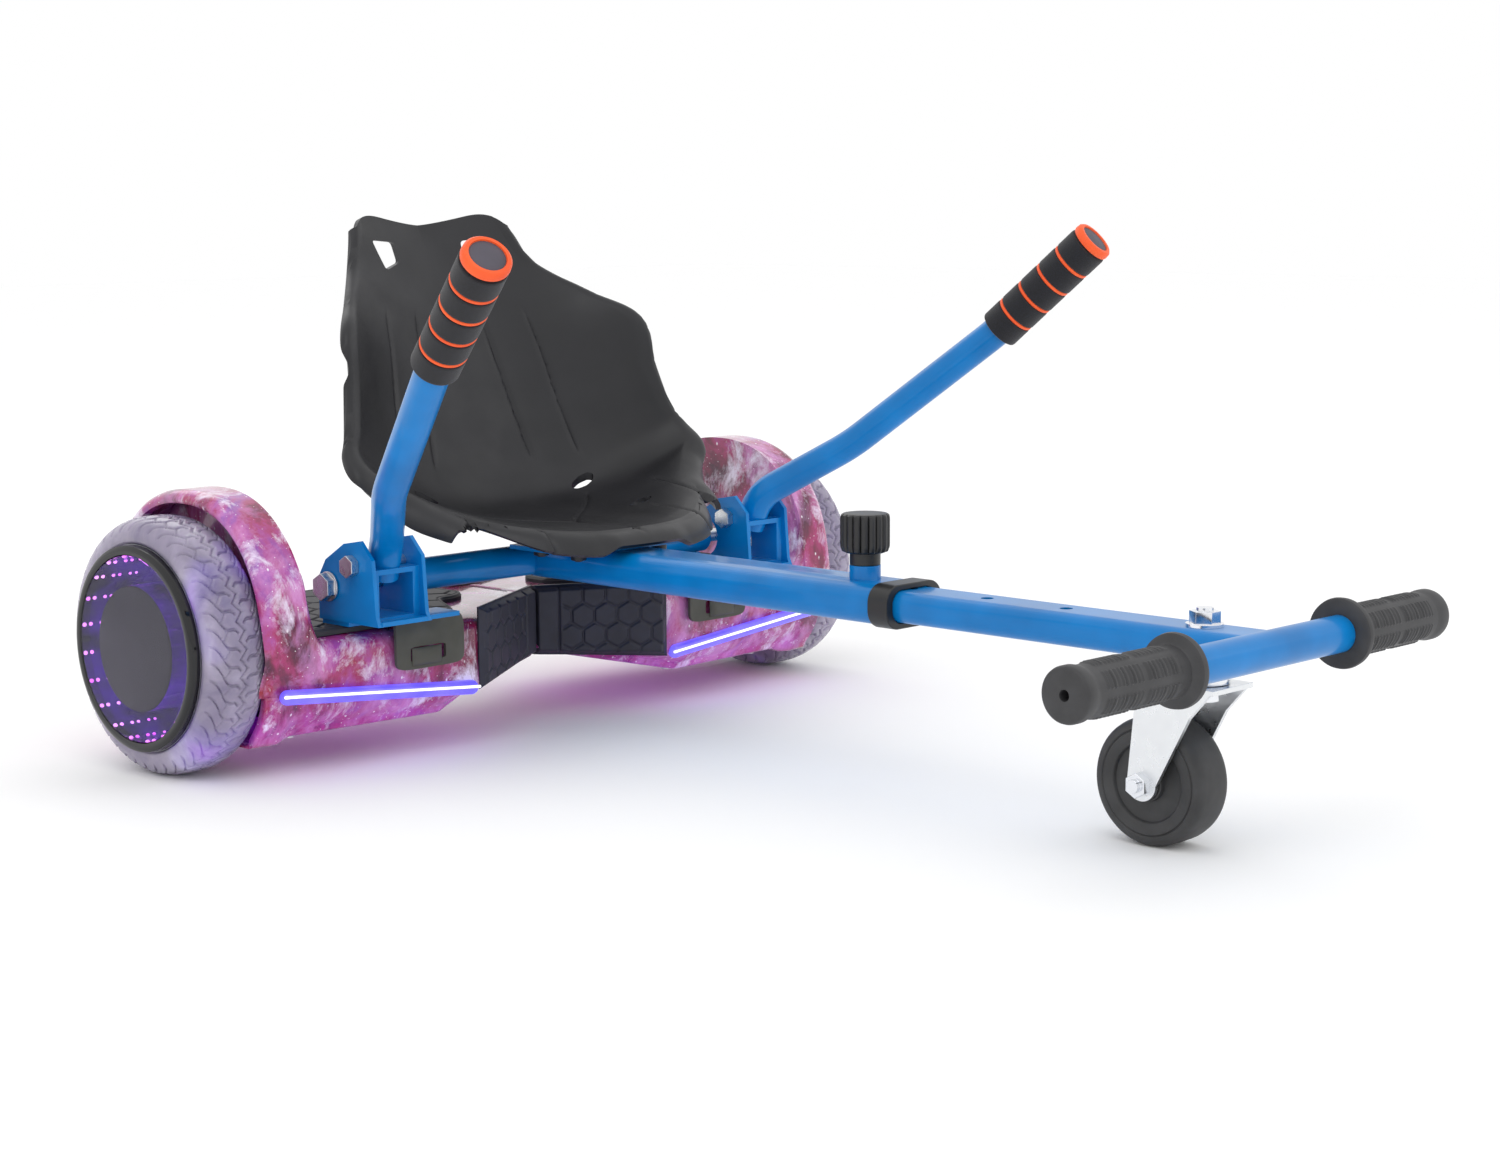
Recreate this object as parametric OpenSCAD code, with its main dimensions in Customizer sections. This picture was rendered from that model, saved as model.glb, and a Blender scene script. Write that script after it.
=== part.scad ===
// Two-wheel self balancing board carrying a strap-on kart frame, in millimetres.
// +Z is up, the kart drives towards -Y and its left side is +X.
// The origin lies on the floor under the middle of the whole vehicle.

/* [Wheels] */
// Radius of each driven tyre
tyre_r = 85; // [75:1:100]
// Width of each driven tyre
tyre_w = 44; // [36:1:55]
// Distance from the middle plane to the inner face of a driven tyre
tyre_x = 257; // [250:1:300]
// Radius of the mirrored wheel disc and of the seat of the tyre
disc_r = 68; // [55:1:70]
// Radius of the fixed axle in each driven wheel
axle_r = 7; // [5:0.5:9]

/* [Board] */
// Height of the platform that carries the foot pads
deck_z = 91; // [80:1:100]
// Depth of the board, front to rear
deck_d = 176; // [150:1:190]
// Depth of the narrow waist between the two halves
waist_d = 80; // [60:1:110]
// Height of the joint between the upper and the lower shell
split_z = 50; // [45:1:60]
// Height of the underside above the floor
belly_z = 22; // [15:1:35]
// Wall of the moulded shells
shell_t = 3; // [2:0.5:4]
// Thickness of the foot pads
pad_t = 4; // [2:0.5:6]
// Distance from the middle plane to the outer corner of the notch
notch_x = 88; // [70:1:100]
// Gap between tyre and wheel arch
arch_gap = 8; // [5:1:14]
// Height of the twist shaft between the two halves
twist_z = 75; // [70:1:78]
// Radius of the twist shaft
twist_r = 8; // [5:0.5:9]

/* [Kart frame] */
// Depth of the cross bar and lever pivot in front of the wheel axle
pivot_y = 64; // [56:1:72]
// Height of the cross bar and lever pivot
pivot_z = 120.5; // [118:0.5:130]
// Radius of the cross bar, the levers and the foot bar
bar_r = 11; // [9:0.5:12]
// Wall of the cross bar and the foot bar
bar_t = 2; // [1.5:0.25:3]
// Distance from the middle plane to the middle of a lever bracket
bracket_x = 173.5; // [160:0.5:185]
// Overall width of a lever bracket
bracket_w = 44; // [38:1:50]
// Width of the outer beam
beam_w = 50; // [44:1:60]
// Height of the outer beam
beam_h = 25; // [22:0.5:30]
// Wall of the beams
beam_t = 2; // [1.5:0.25:3]
// Distance from wheel axle to the front end of the outer beam
beam_front = 398; // [350:1:450]
// Width of the sliding inner beam
slide_w = 40; // [34:1:44]
// Distance from wheel axle to the foot bar
foot_y = 656; // [600:1:720]
// Overall half width over the foot grips
foot_x = 180; // [150:1:220]

/* [Seat] */
// Half width of the bucket over the hips
seat_hip = 166; // [150:1:175]
// Height of the two points at the top of the backrest
seat_top = 362; // [330:1:400]
// Thickness of the moulded seat
seat_t = 4; // [3:0.5:6]

/* [Levers] */
// Radius of the foam hand grips
grip_r = 15; // [13:0.5:18]
// Length of the foam hand grips
grip_l = 101; // [85:1:110]

/* [Caster] */
// Radius of the caster wheel
caster_r = 38; // [32:1:42]
// Width of the caster wheel
caster_w = 30; // [24:1:34]
// Distance from the foot bar back to the swivel axis
swivel_back = 38; // [34:1:50]
// Trail of the caster wheel behind its swivel axis
caster_trail = 28; // [15:1:35]

/* [Hidden] */
$fn = 64;
hull_fn = 32;            // roundness of shapes that are blended as facets
eps = 0.5;               // overrun of a cut past the face it opens
run = 0.05;              // radial running clearance of a shaft in its bore
air = 0.5;               // clearance between neighbours that move past each other
seam = 1;                // half of the gap between the two halves of the board

axle_z = tyre_r;         // the driven wheels stand on the floor
tyre_out = tyre_x + tyre_w;
can_r = 40;              // outside of the motor can in the middle of the mirror tunnel
tunnel_in = can_r + 1.5; // walls of the mirror tunnel
tunnel_out = disc_r - 7;
disc_proud = 6;          // how far the mirrored disc stands out of the tyre
tread_r = 12;            // rounding of the tyre's shoulders
half_d = deck_d / 2;
half_waist = waist_d / 2;
wall_x = tyre_x - 4;     // outer face of the wall that closes the shell beside the wheel
arch_in = tyre_r + arch_gap;
arch_out = arch_in + 10;
arch_x0 = tyre_x - 25;   // inner face of the wheel arch
arch_x1 = tyre_x + 9;    // outer lip of the wheel arch
side_gap = 4;            // gap between tyre and arch at the front and the rear
arch_half = tyre_r + side_gap + shell_t;
arch_room = arch_x0 + shell_t + air;   // where the space inside the wheel arch begins
shaft_end = seam + 34;   // half length of the twist shaft
pad_z = deck_z + pad_t;  // top of the foot pads

knob_y = 361;            // clamp screw of the telescopic beam
slide_h = beam_h - 2 * beam_t - 1;
slide_rear = 250;        // rear end of the inner beam
bracket_in = bracket_x - bracket_w / 2;
bracket_out = bracket_x + bracket_w / 2;
cheek_t = 3;             // bracket plate
sole_t = 3;              // rubber sole under the bracket
plate_z = pad_z + sole_t;
box_y0 = pivot_y + 15.5; // rear end of the stub of box tube in each bracket
box_y1 = 106;            // open front end of that stub
box_o = 33;              // its outside
box_i = 28;              // its opening
bolt_r = 5;              // pivot bolts
open_r = 15;             // enlarged pivot hole of the left bracket
bar_end = bracket_in - 2;    // half length of the cross bar
plug_l = 24;             // length of the threaded plug in each end of the cross bar
lever_bolt_r = 4;
lever_bolt = [89, 136];  // forward distance and height of the bolt that holds a lever
swivel_y = foot_y - swivel_back;
caster_y = swivel_y - caster_trail;
fork_top = 98;           // upper face of the swivel plate
fork_t = 3;
leg_in = caster_w / 2 + 2;   // inner face of a fork leg
pin_r = 5;               // king pin
wheel_pin_r = 4;         // caster axle
port_x = 150;            // charging inlet, on the rear of the right half
button_x = 118;          // power button, on the rear of the right half
port_z = (split_z + deck_z) / 2;
port_r = 6;              // bore of the charging inlet
rear_reach = arch_half;
front_reach = foot_y + 21;
origin_y = (front_reach - rear_reach) / 2;

// Centre line of a lever: distance out, distance forward, height
lever_line = [[bracket_x, 90, 132], [bracket_x + 1, 99, 146], [216, 155, 190], [261, 258, 276]];
grip_dir = [19, 73, 67] / norm([19, 73, 67]);
grip_foot = lever_line[3];

// Rows of the seat from its front lip to the top of the back:
// [middle y, middle z, half width, edge y, edge z], y counted forwards from the wheel axle
seat_rows = [
    [165, 140.5, 0.80, 104, 157], [138, 141.5, 0.85, 86, 161], [100, 142.5, 0.90, 66, 172],
    [62, 143, 0.96, 56, 186], [24, 145.5, 1.00, 50, 198], [2, 156, 0.94, 34, 208],
    [-14, 180, 0.88, 26, 220], [-27, 215, 0.83, 16, 250], [-39, 250, 0.81, 9, 284],
    [-51, 283, 0.66, -20, 300], [-63, 311, 0.50, -50, 322], [-74, 335, 0.42, -64, 348],
    [-82, 351, 0.40, -72, 362]];
seat_scale = (seat_top - 200) / 162;   // stretches the back above the hips
seat_cols = 18;          // strips across the seat
seat_steps = 2;          // strips between two rows
belt_x = 36;             // middle of each belt slot
belt_z = 328;
seat_bolt_x = 38;        // the four bolts through the pan
seat_bolt_y = [96, 134];

module at_axle() { translate([0, origin_y, 0]) children(); }
module on_side(s) { at_axle() if (s > 0) children(); else mirror([1, 0, 0]) children(); }
// Extrudes a drawing of (forward distance, height) along X from x0 to x1
module slab_x(x0, x1) {
    translate([x0, 0, 0]) rotate([90, 0, 90]) linear_extrude(x1 - x0) mirror([1, 0]) children();
}
module rod_x(x0, x1, y, z, r) { translate([x0, -y, z]) rotate([0, 90, 0]) cylinder(r = r, h = x1 - x0); }
module rod_z(z0, z1, x, y, r) { translate([x, -y, z0]) cylinder(r = r, h = z1 - z0); }
module hex_x(x0, x1, y, z, af) {
    translate([x0, -y, z]) rotate([0, 90, 0]) cylinder(r = af / sqrt(3), h = x1 - x0, $fn = 6);
}
// Straight rod between two points given as (out, forward, up)
module rod(a, b, r) {
    p = [a[0], -a[1], a[2]];
    d = [b[0], -b[1], b[2]] - p;
    translate(p) rotate([0, acos(d[2] / norm(d)), atan2(d[1], d[0])]) cylinder(r = r, h = norm(d));
}
// Round-ended rod between two points
module capsule(a, b, r) hull() for (p = [a, b]) translate([p[0], -p[1], p[2]]) sphere(r = r, $fn = hull_fn);
// Flat-sided oval tube section, w wide and h high
module oval(w, h) {
    r = h * 0.42;
    for (sx = [-1, 1], sy = [-1, 1]) translate([sx * (w / 2 - r), sy * (h / 2 - r)]) circle(r = r);
    square([w - 2 * r, h], center = true);
    square([w, h - 2 * r], center = true);
}
module beam(y0, y1, w, h) {
    translate([0, -y0, pivot_z]) rotate([90, 0, 0]) linear_extrude(y1 - y0) oval(w, h);
}
module box_between(a, b) { translate(a) cube(b - a); }

// Plan of one half of the board, inset by g
module plan(g = 0, x1 = arch_x0 + 3) {
    k = (half_d - half_waist) / notch_x;
    dg = g * (sqrt(1 + k * k) - k);
    polygon([[seam + g, -(half_waist - dg)], [notch_x + g / 2, -(half_d - g)], [x1, -(half_d - g)],
             [x1, half_d - g], [notch_x + g / 2, half_d - g], [seam + g, half_waist - dg]]);
}
// Outline of the wheel arch: round on top, flat at the front and the rear
module arch_shape(r, half, z0) {
    intersection() {
        translate([0, axle_z]) circle(r = r);
        translate([-half, z0]) square([2 * half, axle_z + r]);
    }
    translate([-half, z0]) square([2 * half, axle_z - z0]);
}

module upper_shell(s) on_side(s) color("crimson") {
    difference() {
        union() {
            translate([0, 0, split_z]) linear_extrude(deck_z - split_z) plan();
            slab_x(arch_x0, arch_x1) arch_shape(arch_out, arch_half, split_z);
        }
        translate([0, 0, split_z - eps]) linear_extrude(deck_z - split_z - shell_t + eps)
            plan(shell_t, arch_x0 + shell_t + eps);
        slab_x(arch_x0 + shell_t, wall_x - shell_t)
            arch_shape(arch_out - shell_t, arch_half - shell_t, split_z - eps);
        slab_x(wall_x, arch_x1 + eps) arch_shape(arch_in, arch_half - shell_t, split_z - eps);
        rod_x(wall_x - 2 * shell_t, wall_x + eps, 0, axle_z, axle_r + 3);
        rod_x(seam - eps, seam + shell_t + eps, 0, twist_z, twist_r + 2);
        light_tube();
        if (s < 0) {
            translate([port_x, half_d + eps, port_z]) rotate([90, 0, 0]) cylinder(r = port_r + 3, h = 6);
            translate([button_x, half_d + eps, port_z]) rotate([90, 0, 0]) cylinder(r = 7.4, h = 6);
        }
    }
}
// Lower shell: a tray that tapers from the split line to the narrow belly
module tray(g) {
    hull() {
        translate([0, 0, split_z - 0.4]) linear_extrude(0.4 + g) plan(g, wall_x - g);
        box_between([notch_x + 30, -half_d + 24 + g, belly_z + g],
                    [wall_x - 4 - g, half_d - 24 - g, belly_z + g + 1]);
        box_between([seam + g, -half_waist + 12 + g, split_z - 14 + g],
                    [seam + g + 1, half_waist - 12 - g, split_z - 13 + g]);
    }
}
module lower_shell(s) on_side(s) color("mediumvioletred") difference() {
    intersection() {
        tray(0);
        translate([0, -half_d, 0]) cube([tyre_x, deck_d, split_z - 0.2]);
    }
    tray(shell_t);
    light_tube();
}
module chassis(s) on_side(s) color("silver") {
    block = twist_r + 5;
    clamp = axle_r + 7;
    x0 = seam + shell_t + 2;
    x1 = wall_x - shell_t - 2;
    difference() {
        union() {
            box_between([x0, -half_waist + 9, split_z + 1], [x1, half_waist - 9, split_z + 4]);
            box_between([x0, -block, split_z + 4], [shaft_end, block, twist_z + twist_r + 4]);
            box_between([arch_room, -clamp, split_z + 4], [x1, clamp, axle_z + clamp]);
        }
        rod_x(seam, shaft_end + eps, 0, twist_z, s > 0 ? twist_r + run : twist_r);
        rod_x(arch_room - eps, wall_x, 0, axle_z, axle_r);
    }
}
module footpad(s) on_side(s) color("darkslategray") {
    lobe_x = 64;
    translate([0, 0, deck_z]) linear_extrude(pad_t) intersection() {
        union() {
            translate([lobe_x, 0]) circle(r = 26);
            polygon([[lobe_x - 8, -24], [lobe_x + 32, -half_d + 10], [lobe_x + 44, -half_d + 6],
                     [arch_x0 - 1, -half_d + 6], [arch_x0 - 1, half_d - 6], [lobe_x + 44, half_d - 6],
                     [lobe_x + 32, half_d - 10], [lobe_x - 8, 24]]);
        }
        translate([shaft_end, -half_d]) square([arch_x0 - 1 - shaft_end, deck_d]);
    }
}
// Hex-patterned guards on the slanting faces of the waist, front and rear
module bumper(s) on_side(s) color("midnightblue") for (m = [0, 1]) mirror([0, m, 0]) {
    inner = [seam, -half_waist - 0.2];
    outer = [notch_x, -half_d - 0.2];
    translate([0, 0, split_z - 10]) linear_extrude(deck_z - split_z + 16)
        polygon([inner, outer, outer - [0, 4], inner - [0, 6]]);
}
module light_tube() {
    rod([notch_x + 6, half_d - 4, split_z - 6], [wall_x - 3, half_d, split_z + 4], 4.5);
}
module light_bar(s) on_side(s) color("lavender") light_tube();

module tyre(s) on_side(s) color("thistle") translate([tyre_x, 0, axle_z]) rotate([0, 90, 0])
    rotate_extrude($fn = 96) intersection() {
        translate([disc_r, 0]) square([tyre_r, tyre_w]);
        union() {
            square([tyre_r - tread_r, tyre_w]);
            translate([tyre_r - tread_r, tread_r]) square([tread_r, tyre_w - 2 * tread_r]);
            for (q = [tread_r, tyre_w - tread_r]) translate([tyre_r - tread_r, q]) circle(r = tread_r);
        }
    }
// Profiles of the wheel are (radius, distance out from the inner face of the tyre)
module wheel_part(s) {
    on_side(s) translate([tyre_x, 0, axle_z]) rotate([0, 90, 0]) rotate_extrude($fn = 96) children();
}
// Rim, inner cover and the can that turns round the stator
module hub_motor(s) color("dimgray") wheel_part(s) {
    translate([disc_r - 5, 1]) square([5, tyre_w - 1]);
    translate([axle_r + run, 1]) square([disc_r - axle_r - run, 4]);
    translate([axle_r + run, 5]) square([6, 3]);
    translate([can_r - 3, 5]) square([3, tyre_w - 6]);
    translate([0, tyre_w - 4]) square([can_r, 3]);
}
// Mirror tunnel: a ring-shaped trough round the can with a centre cap, and its ring-shaped window
module wheel_disc(s) color("purple") wheel_part(s) {
    face = tyre_w + disc_proud;
    difference() {
        polygon([[0, tyre_w - 0.8], [can_r, tyre_w - 0.8], [can_r + 0.1, 6], [disc_r - 5.1, 6],
                 [disc_r - 5.1, tyre_w + 0.2], [disc_r - 0.2, tyre_w + 0.2], [disc_r - 0.2, face - 2],
                 [disc_r - 2.2, face], [0, face]]);
        translate([tunnel_in, 7.5]) square([tunnel_out - tunnel_in, face]);
    }
    translate([tunnel_in + 0.1, face - 2.5]) square([tunnel_out - tunnel_in - 0.2, 1.5]);
}
module stator_axle(s) color("darkgoldenrod") {
    on_side(s) rod_x(arch_room + air, tyre_out - 6, 0, axle_z, axle_r);
    wheel_part(s) translate([axle_r, 10]) square([can_r - 3.8 - axle_r, tyre_w - 17]);
}
module gyro_board(s) on_side(s) color("green")
    box_between([notch_x + 30, -24, split_z + 8], [notch_x + 74, 24, split_z + 10]);
module pad_switches(s) on_side(s) color("black") for (x = [notch_x + 22, notch_x + 92])
    box_between([x, -9, deck_z - shell_t - 7], [x + 12, 9, deck_z - shell_t - 0.3]);
module shell_screws(s) on_side(s) color("gray") for (x = [notch_x + 40, wall_x - 34], y = [-46, 46])
    translate([x, y, belly_z - 1.5]) cylinder(r = 3.5, h = 1.4);

module lever(s) on_side(s) color("dodgerblue") difference() {
    union() {
        for (i = [0:2]) capsule(lever_line[i], lever_line[i + 1], bar_r);
        capsule(grip_foot, grip_foot + grip_dir * (grip_l - 8 - bar_r), bar_r);
    }
    rod_x(bracket_in, bracket_out, lever_bolt[0], lever_bolt[1], lever_bolt_r);
    box_between([bracket_in, -110, plate_z], [bracket_out, -60, plate_z + box_o + 3.4]);
}
// Length of rod on the axis of the hand grip, from a to b beyond its lower end
module along_grip(a, b, r) rod(grip_foot + grip_dir * a, grip_foot + grip_dir * b, r);
module lever_grip(s) on_side(s) color("black") {
    n = 5;
    ring_w = 1.6;
    pitch = (grip_l - 4) / n;
    difference() {
        for (i = [0:n - 1]) along_grip(i * pitch, (i + 1) * pitch - ring_w, grip_r);
        along_grip(-5, grip_l - 6, bar_r);
    }
    for (i = [1:n - 1]) difference() {
        along_grip(i * pitch - ring_w, i * pitch, grip_r - 1);
        along_grip(i * pitch - 3, i * pitch + 2, bar_r);
    }
}
module grip_cap(s) on_side(s) color("orangered")
    along_grip(grip_l - 5.4, grip_l, grip_r - 1.5);

// Bracket: two cheeks, a stub of box tube between them, a foot plate and its rubber sole
module cheek() {
    polygon([[52, plate_z], [52, 126], [60, 138], [80, 150], [97, 153], [109, 141], [112, 104],
             [115, plate_z]]);
}
module foot_bracket(s) on_side(s) color("dodgerblue") {
    hole = s > 0 ? open_r : bolt_r + run;
    floor_z = plate_z + cheek_t;
    x0 = bracket_in + cheek_t;
    x1 = bracket_out - cheek_t;
    difference() {
        union() {
            for (x = [bracket_in, x1]) slab_x(x, x + cheek_t) cheek();
            box_between([x0, -115, plate_z], [x1, -52, floor_z]);
            box_between([x0, -box_y1, floor_z], [x1, -box_y0, plate_z + box_o + 3]);
            box_between([bracket_in - 26, -112, plate_z], [bracket_in, -88, floor_z]);
        }
        box_between([bracket_x - box_i / 2, -box_y1 - eps, floor_z + 1.5],
                    [bracket_x + box_i / 2, -box_y0 + eps, floor_z + 1.5 + box_i]);
        for (x = [bracket_in, x1]) rod_x(x - eps, x + cheek_t + eps, pivot_y, pivot_z, hole);
        rod_x(bracket_in - eps, bracket_out + eps, lever_bolt[0], lever_bolt[1], lever_bolt_r);
    }
    box_between([bracket_in + 1, -half_d + 6, pad_z], [bracket_out - 1, -54, plate_z]);
}
module bracket_bolts(s) on_side(s) color("silver") {
    rod_x(bracket_in - 6, bracket_out + 6, lever_bolt[0], lever_bolt[1], lever_bolt_r);
    for (x = [bracket_in - 6, bracket_out]) difference() {
        hex_x(x, x + 6, lever_bolt[0], lever_bolt[1], 13);
        rod_x(x - 1, x + 7, lever_bolt[0], lever_bolt[1], lever_bolt_r);
    }
}
module strap_flap(s) on_side(s) color("dimgray") {
    x0 = bracket_in - 44;
    x1 = bracket_in + 14;
    difference() {
        box_between([x0, -half_d - 6, 62], [x1, -half_d - 3, plate_z]);
        box_between([x0 + 16, -half_d - 8, 68], [x1 - 12, -half_d, 78]);
    }
    box_between([x0 + 19, -half_d - 10, 64], [x1 - 14, -half_d - 6, 76]);
}

module pivot_shaft() at_axle() color("silver") rod_x(-shaft_end, shaft_end, 0, twist_z, twist_r);
module battery_pack() at_axle() color("royalblue")
    box_between([notch_x + 34, -40, belly_z + 8], [wall_x - 30, 40, split_z - 4]);
module control_board() at_axle() color("green") {
    z0 = belly_z + 12;
    box_between([-wall_x + 26, -34, z0 - 2], [-notch_x - 50, 34, z0]);
    for (x = [-wall_x + 36:20:-wall_x + 96]) box_between([x, -20, z0], [x + 10, 10, z0 + 10]);
}
module speaker() at_axle() color("black") rod_z(belly_z + 8, belly_z + 26, -notch_x - 32, 0, 13);
module power_button() at_axle() color("silver")
    translate([-button_x, half_d + 1.5, port_z]) rotate([90, 0, 0]) cylinder(r = 6.9, h = 6);
module charge_socket() at_axle() color("black") translate([-port_x, half_d + 0.5, port_z]) rotate([90, 0, 0])
    difference() {
        union() {
            cylinder(r = port_r + 3, h = 18);
            translate([0, 0, -1.5]) cylinder(r = port_r + 5, h = 2);
        }
        translate([0, 0, -2]) cylinder(r = port_r, h = 16);
    }
module charge_cap() at_axle() color("black") {
    r = port_r + 5;
    translate([-port_x, half_d + 4.2, port_z]) rotate([90, 0, 0]) cylinder(r = r, h = 1.8);
    box_between([-port_x - 3, half_d + 2.4, port_z + r - 2], [-port_x + 3, half_d + 4.2, port_z + r + 3.5]);
    rod_x(-port_x - 3, -port_x + 3, -half_d - 3.3, port_z + r + 3.5, 1.6);
}

module crossbar() at_axle() color("dodgerblue") {
    hollow = bar_end - plug_l;
    difference() {
        rod_x(-bar_end, bar_end, pivot_y, pivot_z, bar_r);
        rod_x(-hollow, hollow, pivot_y, pivot_z, bar_r - bar_t);
        for (m = [0, 1]) mirror([m, 0, 0]) rod_x(hollow - eps, bar_end + eps, pivot_y, pivot_z, bolt_r);
    }
}
module outer_tube() at_axle() color("dodgerblue") {
    difference() {
        union() {
            beam(pivot_y, beam_front, beam_w, beam_h);
            rod_z(pivot_z + beam_h / 2 - 1, pivot_z + beam_h / 2 + 9, 0, knob_y, 10);
        }
        beam(pivot_y + 20, beam_front + eps, beam_w - 2 * beam_t, beam_h - 2 * beam_t);
        rod_x(-beam_w, beam_w, pivot_y, pivot_z, bar_r);
        rod_z(pivot_z, pivot_z + beam_h, 0, knob_y, 4 + run);
    }
}
module tube_bush() at_axle() color("black") difference() {
    beam(beam_front - 12, beam_front + 4, beam_w + 3, beam_h + 3);
    beam(beam_front - 12 - eps, beam_front, beam_w, beam_h);
    beam(beam_front - 1, beam_front + 5, slide_w + 0.6, slide_h + 0.6);
}
module inner_tube() at_axle() color("dodgerblue") difference() {
    beam(slide_rear, foot_y, slide_w, slide_h);
    beam(slide_rear - eps, foot_y - 22, slide_w - 2 * beam_t, slide_h - 2 * beam_t);
    rod_x(-foot_x, foot_x, foot_y, pivot_z, bar_r);
    for (y = [slide_rear + 30:60:foot_y - 80]) rod_z(pivot_z, pivot_z + slide_h, 0, y, 4);
    rod_z(pivot_z - beam_h, pivot_z + beam_h, 0, swivel_y, pin_r);
}
module foot_bar() at_axle() color("dodgerblue") difference() {
    rod_x(-foot_x + 8, foot_x - 8, foot_y, pivot_z, bar_r);
    rod_x(-foot_x + 7, foot_x - 7, foot_y, pivot_z, bar_r - bar_t);
}
module foot_grips() at_axle() color("dimgray") for (m = [0, 1]) mirror([m, 0, 0]) difference() {
    translate([foot_x - 100, -foot_y, pivot_z]) rotate([0, 90, 0]) rotate_extrude() polygon([
        [0, 0], [19, 0], [21, 1.5], [21, 4.5], [19, 6], [14.5, 8], [14.5, 88], [15.5, 92], [15.5, 98],
        [14, 100], [0, 100]]);
    rod_x(foot_x - 101, foot_x - 8, foot_y, pivot_z, bar_r);
    rod_x(foot_x - 9, foot_x + 1, foot_y, pivot_z, 3);
}
module clamp_knob() at_axle() color("black") {
    top = pivot_z + beam_h / 2 + 9;
    rod_z(top + 0.4, top + 8, 0, knob_y, 10);
    difference() {
        rod_z(top + 8, top + 33, 0, knob_y, 16);
        for (a = [0:20:359]) translate([0, -knob_y, 0]) rotate(a) rod_z(top + 10, top + 30, 16.8, 0, 1.8);
    }
    color("silver") rod_z(pivot_z + slide_h / 2 + 0.4, top + 0.4, 0, knob_y, 4);
}

// Seat: middle point, and a curve out to the edge that lifts with the square of the distance
function seat_z(z) = z < 200 ? z : 200 + (z - 200) * seat_scale;
function seat_row(i) = seat_rows[max(0, min(len(seat_rows) - 1, i))];
// Smooth curve through four neighbouring rows
function blend4(a, b, c, d, t) =
    0.5 * (2 * b + (c - a) * t + (2 * a - 5 * b + 4 * c - d) * t * t + (3 * b - a - 3 * c + d) * t * t * t);
function seat_at(k) = let (i = floor(k / seat_steps), t = k / seat_steps - floor(k / seat_steps))
    blend4(seat_row(i - 1), seat_row(i), seat_row(i + 1), seat_row(i + 2), t);
function seat_point(k, u) = let (r = seat_at(k), w = pow(abs(u), 2.4))
    [seat_hip * r[2] * u, -(r[0] + (r[3] - r[0]) * w), seat_z(r[1] + (r[4] - r[1]) * w)];
function seat_normal(k) = let (a = seat_point(max(0, k - 1), 0), b = seat_point(k + 1, 0), d = b - a)
    [0, -d[2], d[1]] / norm(d);
module seat_blank() {
    last = (len(seat_rows) - 1) * seat_steps;
    n = seat_cols + 1;
    m = n * (last + 1);
    top = [for (k = [0:last], j = [0:seat_cols]) seat_point(k, 2 * j / seat_cols - 1)];
    low = [for (k = [0:last], j = [0:seat_cols])
        seat_point(k, 2 * j / seat_cols - 1) - seat_t * seat_normal(min(k, last - 1))];
    sheet = [for (k = [0:last - 1], j = [0:seat_cols - 1]) k * n + j];
    up = [for (a = sheet, h = [0, 1]) h == 0 ? [a, a + n + 1, a + 1] : [a, a + n, a + n + 1]];
    down = [for (f = up) [m + f[0], m + f[2], m + f[1]]];
    rim = concat([for (j = [0:seat_cols]) j], [for (k = [1:last]) k * n + seat_cols],
                 [for (j = [1:seat_cols]) last * n + seat_cols - j], [for (k = [1:last - 1]) (last - k) * n]);
    q = len(rim);
    side = [for (i = [0:q - 1], h = [0, 1]) let (a = rim[i], b = rim[(i + 1) % q])
        h == 0 ? [a, b, m + b] : [a, m + b, m + a]];
    polyhedron(concat(top, low), concat(up, down, side));
}
module seat() at_axle() color("darkslategray") difference() {
    seat_blank();
    for (s = [-1, 1]) {
        translate([s * belt_x - 13.5, 50, seat_z(belt_z) - 11]) cube([27, 50, 22]);
        for (y = seat_bolt_y) rod_z(100, 160, s * seat_bolt_x, y, 3.2);
    }
}
module seat_bracket() at_axle() color("dodgerblue") {
    z0 = pivot_z + beam_h / 2;
    difference() {
        union() {
            box_between([-55, -148, z0], [55, -82, z0 + 3]);
            for (s = [-1, 1], y = seat_bolt_y) rod_z(z0 + 3, z0 + 4.2, s * seat_bolt_x, y, 9);
        }
        for (s = [-1, 1], y = seat_bolt_y) rod_z(z0 - 1, z0 + 5, s * seat_bolt_x, y, 3);
    }
}
// Fasteners of the frame: four through the seat, and the two end bolts the brackets turn on
module frame_bolts() at_axle() color("silver") {
    z0 = pivot_z + beam_h / 2;
    for (x = [-seat_bolt_x, seat_bolt_x], y = seat_bolt_y) {
        rod_z(z0 - 6, z0 + 13, x, y, 3);
        difference() {
            union() {
                rod_z(z0 + 12, z0 + 15, x, y, 6);
                rod_z(z0 - 5, z0, x, y, 5.5);
            }
            rod_z(z0 - 6, z0 + 13, x, y, 3);
        }
    }
    for (m = [0, 1]) mirror([m, 0, 0]) {
        rod_x(bar_end - plug_l, bracket_out + 8, pivot_y, pivot_z, bolt_r);
        difference() {
            union() {
                rod_x(bracket_out + air, bracket_out + 2, pivot_y, pivot_z, m > 0 ? 10 : open_r + 1.5);
                hex_x(bracket_out + 2, bracket_out + 8, pivot_y, pivot_z, 16);
            }
            rod_x(bracket_out, bracket_out + 9, pivot_y, pivot_z, bolt_r);
        }
    }
}

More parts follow.
